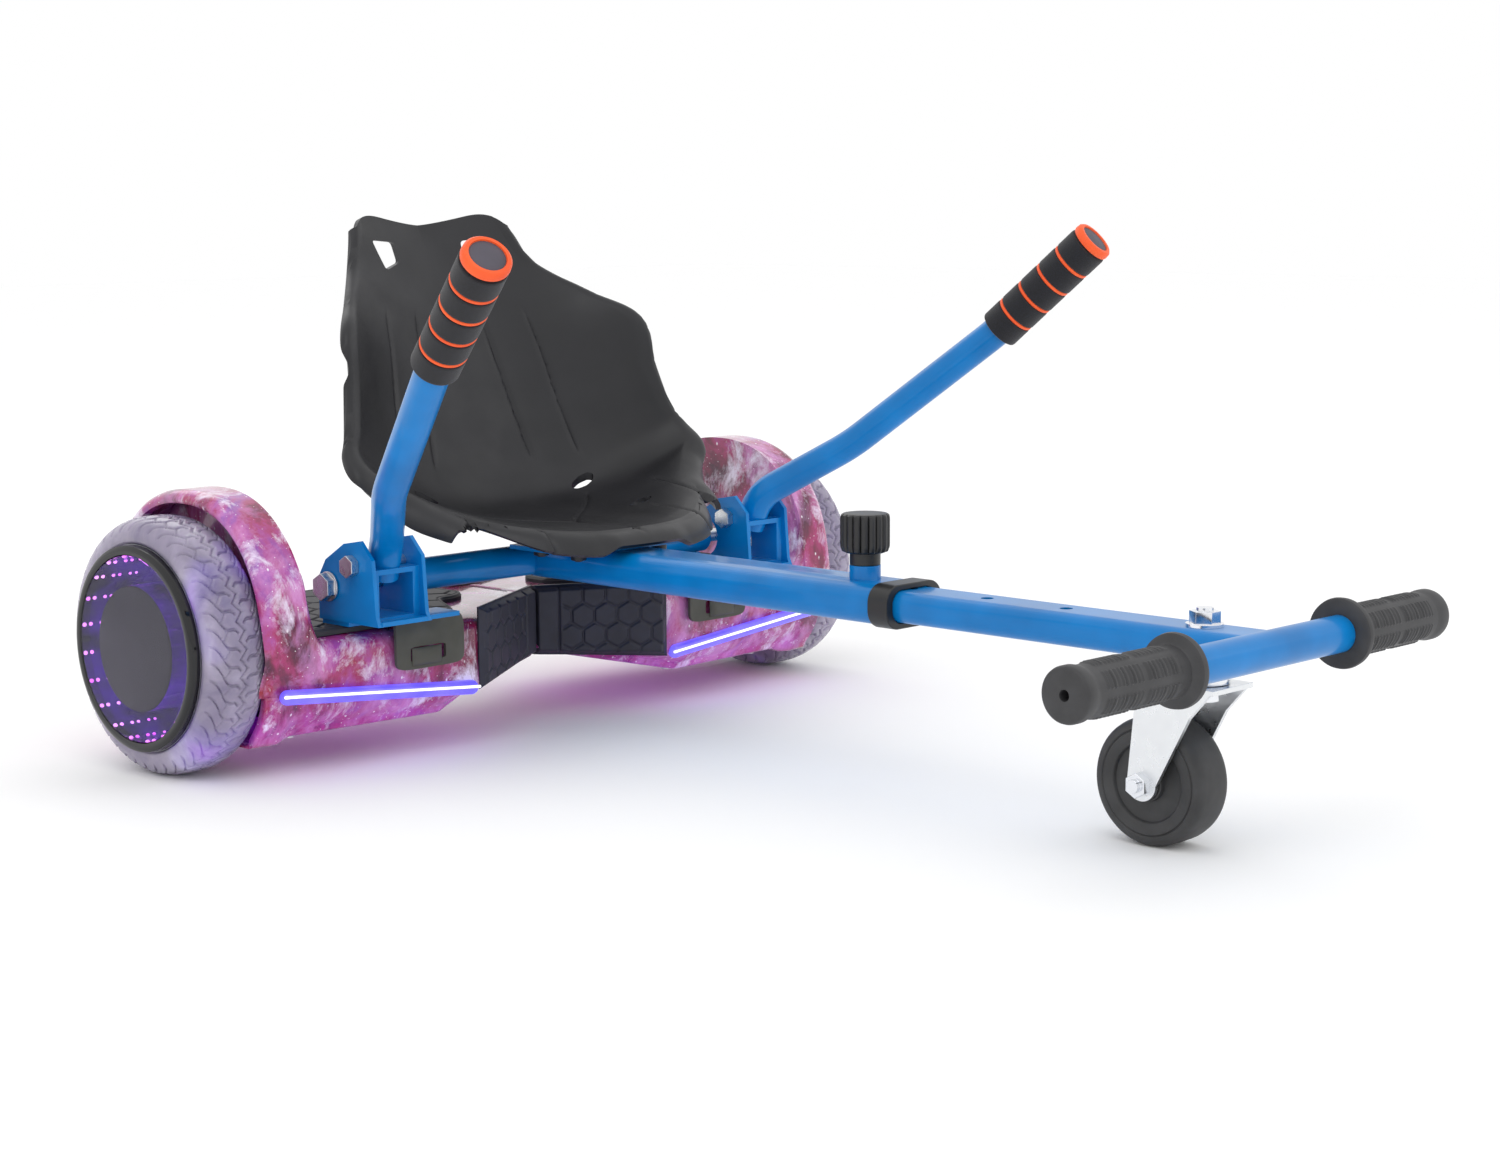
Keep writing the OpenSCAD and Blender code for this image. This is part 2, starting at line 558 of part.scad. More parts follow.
module kingpin() at_axle() color("silver") {
    low = pivot_z - slide_h / 2;
    high = pivot_z + slide_h / 2;
    rod_z(fork_top - fork_t - 7, high + 11, 0, swivel_y, pin_r);
    difference() {
        union() {
            rod_z(fork_top - fork_t - 7, fork_top - fork_t - 0.4, 0, swivel_y, 9);
            rod_z(fork_top + 0.4, low, 0, swivel_y, 15);
            rod_z(high, high + 2, 0, swivel_y, 11);
            translate([0, -swivel_y, high + 2]) cylinder(r = 9, h = 7, $fn = 6);
        }
        rod_z(fork_top - fork_t - 8, high + 12, 0, swivel_y, pin_r);
    }
}
module caster_fork() at_axle() color("gainsboro") {
    difference() {
        union() {
            box_between([-leg_in - fork_t, -swivel_y - 20, fork_top - fork_t],
                        [leg_in + fork_t, -caster_y + 4, fork_top]);
            for (m = [0, 1]) mirror([m, 0, 0]) slab_x(leg_in, leg_in + fork_t) {
                polygon([[swivel_y + 20, fork_top], [caster_y - 4, fork_top], [caster_y - 10, caster_r],
                         [caster_y + 10, caster_r], [swivel_y + 4, fork_top - 18]]);
                translate([caster_y, caster_r]) circle(r = 10);
            }
        }
        rod_z(fork_top - fork_t - 1, fork_top + 1, 0, swivel_y, pin_r + run);
        rod_x(-leg_in - 5, leg_in + 5, caster_y, caster_r, wheel_pin_r);
    }
}
module caster_wheel() at_axle() color("dimgray")
    translate([-caster_w / 2, -caster_y, caster_r]) rotate([0, 90, 0]) rotate_extrude() polygon([
        [wheel_pin_r + run, -1], [11, -1], [11, 4], [23, 4], [24, 2], [28, 0], [caster_r - 5, 0],
        [caster_r - 1, 2], [caster_r, 6], [caster_r, caster_w - 6], [caster_r - 1, caster_w - 2],
        [caster_r - 5, caster_w], [28, caster_w], [24, caster_w - 2], [23, caster_w - 4],
        [11, caster_w - 4], [11, caster_w + 1], [wheel_pin_r + run, caster_w + 1]]);
module caster_axle() at_axle() color("silver") {
    rod_x(-leg_in - 12, leg_in + 9, caster_y, caster_r, wheel_pin_r);
    for (x = [-leg_in - fork_t - 6, leg_in + fork_t]) difference() {
        hex_x(x, x + 6, caster_y, caster_r, 13);
        rod_x(x - 1, x + 7, caster_y, caster_r, wheel_pin_r);
    }
}

upper_shell(-1);  // upper_shell_right
upper_shell(1);  // upper_shell_left
lower_shell(-1);  // lower_shell_right
lower_shell(1);  // lower_shell_left
chassis(-1);  // chassis_right
chassis(1);  // chassis_left
footpad(-1);  // footpad_right
footpad(1);  // footpad_left
bumper(-1);  // bumper_right
bumper(1);  // bumper_left
light_bar(-1);  // light_bar_right
light_bar(1);  // light_bar_left
tyre(-1);  // tyre_right
tyre(1);  // tyre_left
hub_motor(-1);  // hub_motor_right
hub_motor(1);  // hub_motor_left
wheel_disc(-1);  // wheel_disc_right
wheel_disc(1);  // wheel_disc_left
stator_axle(-1);  // stator_axle_right
stator_axle(1);  // stator_axle_left
gyro_board(-1);  // gyro_board_right
gyro_board(1);  // gyro_board_left
pad_switches(-1);  // pad_switches_right
pad_switches(1);  // pad_switches_left
lever(-1);  // lever_right
lever(1);  // lever_left
lever_grip(-1);  // lever_grip_right
lever_grip(1);  // lever_grip_left
grip_cap(-1);  // grip_cap_right
grip_cap(1);  // grip_cap_left
foot_bracket(-1);  // foot_bracket_right
foot_bracket(1);  // foot_bracket_left
bracket_bolts(-1);  // bracket_bolts_right
bracket_bolts(1);  // bracket_bolts_left
strap_flap(-1);  // strap_flap_right
strap_flap(1);  // strap_flap_left
shell_screws(-1);  // shell_screws_right
shell_screws(1);  // shell_screws_left
pivot_shaft();
battery_pack();
control_board();
speaker();
power_button();
charge_socket();
charge_cap();
crossbar();
outer_tube();
tube_bush();
inner_tube();
foot_bar();
foot_grips();
clamp_knob();
seat();
seat_bracket();
frame_bolts();
kingpin();
caster_fork();
caster_wheel();
caster_axle();
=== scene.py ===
"""Surfaces, finishes and stage for a self balancing board that carries a kart frame.

Lengths in the shape functions are millimetres in the vehicle's own terms: out from the middle plane,
forward of the wheel axle, up from the floor. place() turns them into the scene's metres.
"""
import math

import bmesh
import bpy
import numpy as np
from mathutils import Matrix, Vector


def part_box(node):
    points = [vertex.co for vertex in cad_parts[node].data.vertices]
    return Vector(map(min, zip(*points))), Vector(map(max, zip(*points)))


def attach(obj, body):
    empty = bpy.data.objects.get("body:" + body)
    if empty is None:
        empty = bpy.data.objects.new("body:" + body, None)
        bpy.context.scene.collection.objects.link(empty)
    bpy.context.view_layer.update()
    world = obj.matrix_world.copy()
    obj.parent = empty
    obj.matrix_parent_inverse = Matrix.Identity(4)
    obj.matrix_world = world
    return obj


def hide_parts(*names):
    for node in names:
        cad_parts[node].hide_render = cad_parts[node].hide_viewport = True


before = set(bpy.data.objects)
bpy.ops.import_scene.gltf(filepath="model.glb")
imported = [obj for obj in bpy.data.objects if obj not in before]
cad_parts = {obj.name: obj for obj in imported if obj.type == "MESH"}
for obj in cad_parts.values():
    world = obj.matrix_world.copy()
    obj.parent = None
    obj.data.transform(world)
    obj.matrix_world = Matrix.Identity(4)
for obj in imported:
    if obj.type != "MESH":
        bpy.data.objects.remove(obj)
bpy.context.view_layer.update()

bl_info = {
    "name": "Kart Board",
    "version": (1, 0, 0),
    "blender": (4, 5, 0),
    "location": "3D View > Sidebar > Kart Board",
    "description": "Shapes and finishes of a self balancing board with a kart frame",
    "category": "Add Mesh",
}

MM = 0.001
PI = math.pi


def node_box(node):
    """Lowest and highest corner of a CAD node, in millimetres, as arrays."""
    low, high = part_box(node)
    return np.array(low) / MM, np.array(high) / MM


TYRE_LOW, TYRE_HIGH = node_box("tyre_left")
SHELL_LOW, SHELL_HIGH = node_box("upper_shell_left")
PAD_LOW, PAD_HIGH = node_box("footpad_left")
ARCH_TOP = SHELL_HIGH[2]
AXLE_Y = (TYRE_LOW[1] + TYRE_HIGH[1]) / 2
AXLE_Z = (TYRE_LOW[2] + TYRE_HIGH[2]) / 2
TYRE_R = (TYRE_HIGH[2] - TYRE_LOW[2]) / 2
TYRE_IN, TYRE_OUT = TYRE_LOW[0], TYRE_HIGH[0]
DISC_HIGH = node_box("wheel_disc_left")[1]
DISC_R = DISC_HIGH[2] - AXLE_Z
DECK_Z = PAD_LOW[2]
HALF_D = (PAD_HIGH[1] - PAD_LOW[1]) / 2 + 6.0
WALL_X = TYRE_IN - 4.0
SIDES = {"right": -1.0, "left": 1.0}


def place(p):
    """Array of (out, forward, up) in millimetres to (x, y, z) in metres."""
    p = np.asarray(p, float)
    return np.stack([p[..., 0], AXLE_Y - p[..., 1], p[..., 2]], -1) * MM


# ---------------------------------------------------------------- mesh helpers

def quads(nu, nv, wrap_u=False, wrap_v=False):
    """Faces of a grid of nu by nv points, as an array of corner numbers."""
    i = np.arange(nu if wrap_u else nu - 1)[:, None]
    j = np.arange(nv if wrap_v else nv - 1)[None, :]
    a, b = i * nv + j, i * nv + (j + 1) % nv
    c, d = (i + 1) % nu * nv + (j + 1) % nv, (i + 1) % nu * nv + j
    return np.stack([a, b, c, d], -1).reshape(-1, 4)


def make(name, points, faces, finish, body, slot, stands_for=(), sharp=40.0):
    """A mesh object from points in metres and quads, riding on a body. Faces are turned outwards."""
    mesh = bpy.data.meshes.new(name)
    mesh.from_pydata(points.reshape(-1, 3).tolist(), [], faces.tolist())
    bm = bmesh.new()
    bm.from_mesh(mesh)
    bmesh.ops.remove_doubles(bm, verts=bm.verts, dist=1e-6)
    bmesh.ops.recalc_face_normals(bm, faces=bm.faces)
    bm.to_mesh(mesh)
    bm.free()
    return dress(name, mesh, finish, body, stands_for, sharp)


def dress(name, mesh, finish, body, stands_for=(), sharp=40.0):
    """Links a mesh as a piece, with its finish and its body, and hides the CAD nodes it stands for."""
    mesh.shade_smooth()
    mesh.set_sharp_from_angle(angle=math.radians(sharp))
    mesh.materials.clear()
    for one in finish if isinstance(finish, (list, tuple)) else [finish]:
        mesh.materials.append(one)
    piece = bpy.data.objects.new(name, mesh)
    bpy.context.scene.collection.objects.link(piece)
    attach(piece, body)
    if stands_for:
        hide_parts(*stands_for)
    return piece


def merged(parts):
    """Joins (points, faces) pairs into one pair."""
    points, faces, base = [], [], 0
    for p, f in parts:
        p = p.reshape(-1, 3)
        points.append(p)
        faces.append(f + base)
        base += len(p)
    return np.concatenate(points), np.concatenate(faces)


def closed_sheet(top, low):
    """Solid between two grids of the same size: both grids and the band that joins their edges."""
    nu, nv = top.shape[:2]
    face = quads(nu, nv)
    k = nu * nv
    i, j = np.arange(nu), np.arange(nv)
    edge = np.concatenate([j, i[1:] * nv + nv - 1, (nu - 1) * nv + j[::-1][1:], i[::-1][1:-1] * nv])
    after = np.roll(edge, -1)
    band = np.stack([edge, after, after + k, edge + k], -1)
    points = np.concatenate([top.reshape(-1, 3), low.reshape(-1, 3)])
    return points, np.concatenate([face, face[:, ::-1] + k, band])


def lathe(profile, centre, steps, out=1.0):
    """Profile of (radius, distance out) turned round the X axis through centre; closed where radius is 0."""
    prof = np.asarray(profile, float)
    a = np.linspace(0, 2 * PI, steps, endpoint=False)[:, None]
    p = np.stack([out * (centre[0] + prof[None, :, 1]) + 0 * a, centre[1] + prof[None, :, 0] * np.cos(a),
                  centre[2] + prof[None, :, 0] * np.sin(a)], -1)
    return p, quads(steps, len(prof), wrap_u=True)


def frames(path):
    """Unit tangent and two unit normals along a path, the first normal level."""
    t = np.gradient(path, axis=0)
    t /= np.linalg.norm(t, axis=1, keepdims=True)
    side = np.cross(t, np.array([0.0, 0.0, 1.0]))
    side /= np.linalg.norm(side, axis=1, keepdims=True)
    return t, side, np.cross(side, t)


def tube(path, radius, steps=40):
    """Round tube along a path: centre + radius (cos a * side + sin a * up), its ends closed to a point."""
    path = np.asarray(path, float)
    radius = np.broadcast_to(np.asarray(radius, float), (len(path),))
    _, side, up = frames(path)
    a = np.linspace(0, 2 * PI, steps, endpoint=False)
    ring = np.cos(a)[None, :, None] * side[:, None] + np.sin(a)[None, :, None] * up[:, None]
    p = path[:, None] + radius[:, None, None] * ring
    p = np.concatenate([np.broadcast_to(path[:1, None], (1, steps, 3)), p,
                        np.broadcast_to(path[-1:, None], (1, steps, 3))])
    return p, quads(len(p), steps, wrap_v=True)


def bent_path(corners, bend, step=3.0):
    """Straight runs through corners, each corner rounded by a quadratic curve that starts bend before it."""
    corners = [np.asarray(c, float) for c in corners]
    out = [corners[0]]
    for a, b, c in zip(corners, corners[1:], corners[2:]):
        p = b + (a - b) / np.linalg.norm(a - b) * bend
        q = b + (c - b) / np.linalg.norm(c - b) * bend
        t = np.linspace(0, 1, 14)[:, None]
        out += list((1 - t) ** 2 * p + 2 * t * (1 - t) * b + t ** 2 * q)
    out.append(corners[-1])
    path = np.array(out)
    reach = np.concatenate([[0], np.cumsum(np.linalg.norm(np.diff(path, axis=0), axis=1))])
    s = np.linspace(0, reach[-1], max(8, int(reach[-1] / step)))
    return np.stack([np.interp(s, reach, path[:, i]) for i in range(3)], -1)


def ease(t):
    """0 below 0, 1 above 1, and a smooth S between."""
    t = np.clip(t, 0, 1)
    return t * t * (3 - 2 * t)


def hex_edge(u, v, size):
    """Distance of each point from the nearest edge of a net of hexagons, size across flats."""
    h = size * math.sqrt(3)
    best = np.full(np.broadcast(u, v).shape, 1e9)
    second = best.copy()
    for shift in (0.0, 0.5):
        cu = (np.round(u / size - shift) + shift) * size
        for dv in (0.0, 1.0, -1.0):
            cv = (np.round(v / h - shift) + shift + dv) * h
            for du in (0.0, 1.0, -1.0):
                d = np.hypot(u - cu - du * size, v - cv)
                second = np.where(d < best, best, np.minimum(second, d))
                best = np.minimum(best, d)
    return (second - best) / 2


def softened(name, node, finish, body, width=0.6, angle=30.0, reach=None):
    """A merged copy of a CAD node whose sharp edges are rounded by a small bevel, in its place.

    reach, in mm from the middle plane, keeps only what lies between its two numbers.
    """
    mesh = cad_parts[node].data.copy()
    bm = bmesh.new()
    bm.from_mesh(mesh)
    bmesh.ops.remove_doubles(bm, verts=bm.verts, dist=2e-6)
    if reach:
        away = [v for v in bm.verts if not reach[0] < abs(v.co.x) / MM < reach[1]]
        bmesh.ops.delete(bm, geom=away, context="VERTS")
    bmesh.ops.dissolve_limit(bm, angle_limit=math.radians(0.5), verts=bm.verts, edges=bm.edges)
    bm.to_mesh(mesh)
    bm.free()
    piece = dress(name, mesh, finish, body, (node,), sharp=angle)
    bevel = piece.modifiers.new("edge", "BEVEL")
    bevel.width = width * MM
    bevel.segments = 2
    bevel.limit_method = "ANGLE"
    bevel.angle_limit = math.radians(angle)
    bevel.harden_normals = True
    return piece


# ---------------------------------------------------------------- materials

def srgb(code, alpha=1.0):
    """sRGB hex text to a linear colour."""
    c = np.array([int(code[i:i + 2], 16) / 255 for i in (1, 3, 5)])
    c = np.where(c <= 0.04045, c / 12.92, ((c + 0.055) / 1.055) ** 2.4)
    return (*c, alpha)


def add(tree, kind, sockets=None, **settings):
    """Adds a shader node; a socket is given a value or linked from another node's output."""
    made = tree.nodes.new(kind)
    for key, value in settings.items():
        setattr(made, key, value)
    for key, value in (sockets or {}).items():
        if isinstance(value, bpy.types.NodeSocket):
            tree.links.new(value, made.inputs[key])
        else:
            made.inputs[key].default_value = value
    return made


def ramp(tree, factor, stops, mode="LINEAR"):
    """Colour ramp from a list of (position, hex colour)."""
    made = add(tree, "ShaderNodeValToRGB", {"Fac": factor})
    line = made.color_ramp
    line.interpolation = mode
    while len(line.elements) < len(stops):
        line.elements.new(0.5)
    for element, (at, code) in zip(line.elements, stops):
        element.position = at
        element.color = srgb(code)
    return made.outputs["Color"]


def start(name, **sockets):
    """A new material with one Principled shader; gives it, its tree, the shader and object coordinates."""
    mat = bpy.data.materials.new(name)
    mat.use_nodes = True
    tree = mat.node_tree
    shader = tree.nodes["Principled BSDF"]
    for key, value in sockets.items():
        shader.inputs[key.replace("_", " ")].default_value = value
    where = tree.nodes.new("ShaderNodeTexCoord").outputs["Object"]
    return mat, tree, shader, where


def noise(tree, where, scale, detail=3.0, rough=0.5, distortion=0.0):
    """Fractal noise; scale is in features per metre."""
    made = add(tree, "ShaderNodeTexNoise", {"Vector": where, "Scale": scale, "Detail": detail,
                                            "Roughness": rough, "Distortion": distortion})
    return made.outputs["Fac"]


def spread(tree, value, low, high, to_low=0.0, to_high=1.0):
    """Maps a value from one range to another and clamps it."""
    made = add(tree, "ShaderNodeMapRange", {"Value": value, "From Min": low, "From Max": high,
                                            "To Min": to_low, "To Max": to_high})
    return made.outputs["Result"]


def blend(tree, factor, a, b, how="MIX"):
    """Mixes two colours."""
    made = add(tree, "ShaderNodeMix", data_type="RGBA", blend_type=how)
    for i, value in ((0, factor), (6, a), (7, b)):
        if isinstance(value, bpy.types.NodeSocket):
            tree.links.new(value, made.inputs[i])
        else:
            made.inputs[i].default_value = value
    return made.outputs[2]


def bump(tree, shader, height, depth_mm, strength=1.0, after=None):
    """Raises the surface by height, whose full range is depth_mm."""
    sockets = {"Height": height, "Strength": strength, "Distance": depth_mm * MM}
    if after is not None:
        sockets["Normal"] = after
    made = add(tree, "ShaderNodeBump", sockets)
    tree.links.new(made.outputs["Normal"], shader.inputs["Normal"])
    return made.outputs["Normal"]


def stars(tree, where, base, spacing_mm, radius_mm, share):
    """Lays white specks over a colour: one in each chosen cell of a cellular pattern with that spacing."""
    cells = add(tree, "ShaderNodeTexVoronoi", {"Vector": where, "Scale": 1000 / spacing_mm})
    size = radius_mm / spacing_mm
    point = spread(tree, cells.outputs["Distance"], size, size * 0.35)
    chosen = spread(tree, cells.outputs["Color"], 1 - share, 1 - share + 0.02)
    star = add(tree, "ShaderNodeMath", {0: point, 1: chosen}, operation="MULTIPLY").outputs[0]
    return blend(tree, star, base, srgb("#fff6ff"))


def printed_shell():
    """ABS moulding under a water-transfer nebula print and clear lacquer: high gloss over cloudy colour, with a
    painted magenta glow emitted low on the shell, which is no lamp.
    """
    mat, tree, shader, where = start("galaxy_print_abs_painted_glow", Roughness=0.2, Specular_IOR_Level=0.35,
                                     Coat_Weight=0.7, Coat_Roughness=0.03)
    slant = add(tree, "ShaderNodeMapping", {"Vector": where, "Rotation": (0.3, 0.5, 0.2),
                                            "Scale": (1.0, 1.0, 0.66)}).outputs["Vector"]
    base = ramp(tree, noise(tree, slant, 21, 8, 0.64, 0.7),
                [(0.34, "#4a0f34"), (0.43, "#7c1a46"), (0.50, "#a82c68"), (0.57, "#ac4494"),
                 (0.66, "#8446a8")])
    far = add(tree, "ShaderNodeVectorMath", {0: slant, 1: (0.31, 0.17, 0.23)}, operation="ADD").outputs[0]
    fire = spread(tree, noise(tree, far, 19, 6, 0.62, 0.5), 0.56, 0.66)
    base = blend(tree, fire, base, srgb("#9c1230"))
    haze = spread(tree, noise(tree, far, 26, 9, 0.68, 0.4), 0.47, 0.63, 0.0, 0.85)
    base = blend(tree, haze, base, srgb("#d68ccc"))
    cloud = spread(tree, noise(tree, slant, 34, 9, 0.72, 0.4), 0.53, 0.66)
    base = blend(tree, cloud, base, srgb("#f0e4f8"))
    base = stars(tree, where, base, 3.0, 0.5, 0.5)
    base = stars(tree, far, base, 7.5, 1.0, 0.5)
    tree.links.new(base, shader.inputs["Base Color"])
    # Painted glow: magenta emission in noise patches, brightest low on the shell and dark on the belly, standing
    # in for light seen there; the shell is no lamp.
    height = add(tree, "ShaderNodeSeparateXYZ", {"Vector": where}).outputs["Z"]
    glow = spread(tree, height, 0.062, 0.022)
    colour = ramp(tree, glow, [(0.0, "#000000"), (0.4, "#3c0c70"), (0.78, "#a41ce0"), (0.93, "#8a18c0"),
                               (1.0, "#14021c")])
    glow_patches = spread(tree, noise(tree, where, 40, 4), 0.3, 0.7, 0.35, 1.0)
    painted_glow = blend(tree, glow_patches, srgb("#000000"), colour)
    tree.links.new(painted_glow, shader.inputs["Emission Color"])
    shader.inputs["Emission Strength"].default_value = 0.3
    bump(tree, shader, noise(tree, where, 90, 2), 0.03, 0.3)
    return mat


def clear_rubber():
    """Injection-moulded translucent TPU tyre: milky, waxy edges, with a painted violet glow in patches that
    stands in for the light of the violet lamps inside.
    """
    mat, tree, shader, where = start("translucent_tpu_painted_glow", Roughness=0.24, Transmission_Weight=0.22, IOR=1.45,
                                     Subsurface_Weight=0.4, Subsurface_Scale=0.01, Coat_Weight=0.45,
                                     Coat_Roughness=0.12)
    shader.inputs["Subsurface Radius"].default_value = (1.0, 0.75, 1.0)
    milk = ramp(tree, noise(tree, where, 30, 4, 0.55, 0.5),
                [(0.3, "#83799a"), (0.5, "#a198b0"), (0.62, "#b4abc4"), (0.76, "#d6d0de")])
    tree.links.new(milk, shader.inputs["Base Color"])
    # Painted glow: violet emission in noise patches on the tyre, which is no lamp, standing in for the light of
    # the lamps inside the wheel.
    light = spread(tree, noise(tree, where, 15, 2, 0.5, 0.4), 0.58, 0.8)
    colour = ramp(tree, light, [(0.0, "#000000"), (0.5, "#3c1c8c"), (1.0, "#9c3ce8")])
    tree.links.new(colour, shader.inputs["Emission Color"])
    shader.inputs["Emission Strength"].default_value = 0.5
    bump(tree, shader, noise(tree, where, 400, 3), 0.08, 0.5)
    return mat


def dark_rubber(name, code, grain=900, depth=0.06, rough=0.62):
    """Moulded rubber with a fine eroded-die texture; grain is in features per metre, coarser than real."""
    mat, tree, shader, where = start(name, Roughness=rough)
    patch = spread(tree, noise(tree, where, 60, 3), 0.3, 0.7)
    light = tuple(min(1.0, c * 1.5 + 0.004) for c in srgb(code)[:3]) + (1.0,)
    tree.links.new(blend(tree, patch, srgb(code), light), shader.inputs["Base Color"])
    bump(tree, shader, noise(tree, where, grain, 3), depth, 0.6)
    return mat


def enamel():
    """Powder-coated steel tube in azure gloss enamel: clear highlights over a slight orange peel."""
    mat, tree, shader, where = start("azure_enamel", Roughness=0.3, Specular_IOR_Level=0.2, Coat_Weight=0.25,
                                     Coat_Roughness=0.05)
    patch = spread(tree, noise(tree, where, 22, 3), 0.3, 0.7)
    tree.links.new(blend(tree, patch, srgb("#0070b6"), srgb("#0080cc")), shader.inputs["Base Color"])
    bump(tree, shader, noise(tree, where, 420, 2), 0.03, 0.35)
    return mat


def seat_plastic():
    """Blow-moulded polypropylene in black: satin, with a fine leather-like grain."""
    mat, tree, shader, where = start("black_polypropylene", Roughness=0.42, Specular_IOR_Level=0.5)
    patch = spread(tree, noise(tree, where, 14, 4), 0.3, 0.7)
    tree.links.new(blend(tree, patch, srgb("#131317"), srgb("#1c1c21")), shader.inputs["Base Color"])
    rough = spread(tree, noise(tree, where, 35, 5), 0.3, 0.7, 0.36, 0.50)
    tree.links.new(rough, shader.inputs["Roughness"])
    cells = add(tree, "ShaderNodeTexVoronoi", {"Vector": where, "Scale": 900.0}).outputs["Distance"]
    bump(tree, shader, cells, 0.04, 0.35)
    return mat


def foam():
    """Closed-cell NBR foam sleeve: matt black with an open sponge grain of about half a millimetre."""
    mat, tree, shader, where = start("nbr_foam", Roughness=0.9, Sheen_Weight=0.15, Sheen_Roughness=0.6)
    speck = spread(tree, noise(tree, where, 1100, 3, 0.7), 0.35, 0.7)
    tree.links.new(blend(tree, speck, srgb("#060609"), srgb("#1a1a24")), shader.inputs["Base Color"])
    bump(tree, shader, noise(tree, where, 1300, 4, 0.7), 0.25, 0.8)
    return mat


def bright_zinc(name="bright_zinc", code="#d4d6d8", rough=0.28):
    """Zinc-plated steel, bright-dipped: a mild metal with faint cloudy mottling."""
    mat, tree, shader, where = start(name, Metallic=1.0)
    shader.inputs["Base Color"].default_value = srgb(code)
    tree.links.new(spread(tree, noise(tree, where, 120, 4), 0.3, 0.7, rough - 0.08, rough + 0.12),
                   shader.inputs["Roughness"])
    bump(tree, shader, noise(tree, where, 500, 2), 0.02, 0.3)
    return mat


def moulded(name, code, rough=0.45, grain=600):
    """Injection-moulded plastic with a light spark-eroded grain."""
    mat, tree, shader, where = start(name, Roughness=rough)
    patch = spread(tree, noise(tree, where, 50, 3), 0.3, 0.7)
    light = tuple(min(1.0, c * 1.35 + 0.003) for c in srgb(code)[:3]) + (1.0,)
    tree.links.new(blend(tree, patch, srgb(code), light), shader.inputs["Base Color"])
    bump(tree, shader, noise(tree, where, grain, 2), 0.03, 0.5)
    return mat


def lit(name, code, strength, edge=None):
    """A lit diffuser or lamp: emission with slight unevenness along it."""
    mat, tree, shader, where = start(name, Roughness=0.25, Coat_Weight=0.6)
    shader.inputs["Base Color"].default_value = srgb(code)
    uneven = spread(tree, noise(tree, where, 45, 3), 0.3, 0.7)
    tree.links.new(blend(tree, uneven, srgb(code), srgb(edge or code)), shader.inputs["Emission Color"])
    shader.inputs["Emission Strength"].default_value = strength
    return mat


def window_pane():
    """Flat smoked acrylic over the mirror tunnel, half silvered: clear to the lamps, with a reflection."""
    mat, tree, shader, where = start("half_silvered_acrylic", Roughness=0.02, Transmission_Weight=1.0,
                                     IOR=1.12,
                                     Coat_Weight=0.5, Coat_IOR=1.4, Coat_Roughness=0.02)
    tint = spread(tree, noise(tree, where, 25, 2), 0.3, 0.7)
    tree.links.new(blend(tree, tint, srgb("#c8c4d8"), srgb("#dcd8ea")), shader.inputs["Base Color"])
    return mat


def mirror_wall():
    """Tinted mirror film on the tunnel wall: deep violet that fades with depth, with a painted violet glow in
    patches that stands in for the reflected light of its lamps.
    """
    mat, tree, shader, where = start("violet_mirror_film_painted_glow", Roughness=0.12, Metallic=0.6)
    patch = noise(tree, where, 40, 3, 0.5, 0.4)
    tree.links.new(ramp(tree, patch, [(0.3, "#1a0a3c"), (0.7, "#4a1c90")]), shader.inputs["Base Color"])
    # Painted glow: emission on the mirror film, which is no lamp, standing in for the reflections of the tunnel
    # lamps.
    tree.links.new(ramp(tree, patch, [(0.35, "#180440"), (0.7, "#5c1cb8")]), shader.inputs["Emission Color"])
    shader.inputs["Emission Strength"].default_value = 0.55
    return mat


# ---------------------------------------------------------------- board shapes

BAR_IN = np.array([92.0, HALF_D - 1.0, 42.0])
BAR_OUT = np.array([WALL_X - 1.0, HALF_D - 6.0, 56.0])
ARCH_X = TYRE_IN - 25.0
LIP_X = SHELL_HIGH[0]
WAIST = 40.0


def split_line(x):
    """(forward, up) of the joint between the shells: level with the light bar, rising gently outwards."""
    t = np.clip((x - BAR_IN[0]) / (BAR_OUT[0] - BAR_IN[0]), -0.6, 1.1)
    half = np.interp(x, [0, 88, 100, 253, 270], [WAIST, HALF_D, HALF_D - 1, HALF_D - 6, HALF_D - 6])
    up = np.where(t < 0, BAR_IN[2] - t * 18, BAR_IN[2] + t * (BAR_OUT[2] - BAR_IN[2]))
    return half, up


def upper_profile(x, rows=56, skirt=6):
    """Section of the upper shell at x: a rounded box that swells into an ellipse over the wheel.

    Over the top forward = a cos(t)^(2/n) and up = c + b sin(t)^(2/n); the skirts run down to the split.
    """
    x = np.asarray(x, float)[:, None]
    cove = np.clip((x - (ARCH_X - 16)) / 18, 0, 1)
    m = 1 - np.sqrt(1 - cove ** 2 * 0.999)
    wide = np.interp(x, [0, 6, 88, 104, 300], [WAIST - 2, WAIST, HALF_D - 1.5, HALF_D, HALF_D])
    a = wide + m * ((SHELL_HIGH[1] - SHELL_LOW[1]) / 2 - wide)
    c = 66 + m * (AXLE_Z - 66)
    b = (DECK_Z - 66) + m * (ARCH_TOP - AXLE_Z - (DECK_Z - 66))
    power = 2 / (7 - 4.9 * m)
    t = np.linspace(0, PI, rows)[None, :]
    cos, sin = np.cos(t), np.sin(t)
    fwd = a * np.sign(cos) * np.abs(cos) ** power
    up = c + b * np.abs(sin) ** power
    half, low = split_line(x)
    s = np.linspace(0, 1, skirt, endpoint=False)[None, :]
    front = np.stack([half + (a - half) * ease(s), low + (c - low) * s], -1)
    rear = np.stack([-(half + (a - half) * ease(s)), low + (c - low) * s], -1)[:, ::-1]
    return np.concatenate([front, np.stack([fwd, up], -1), rear], 1)


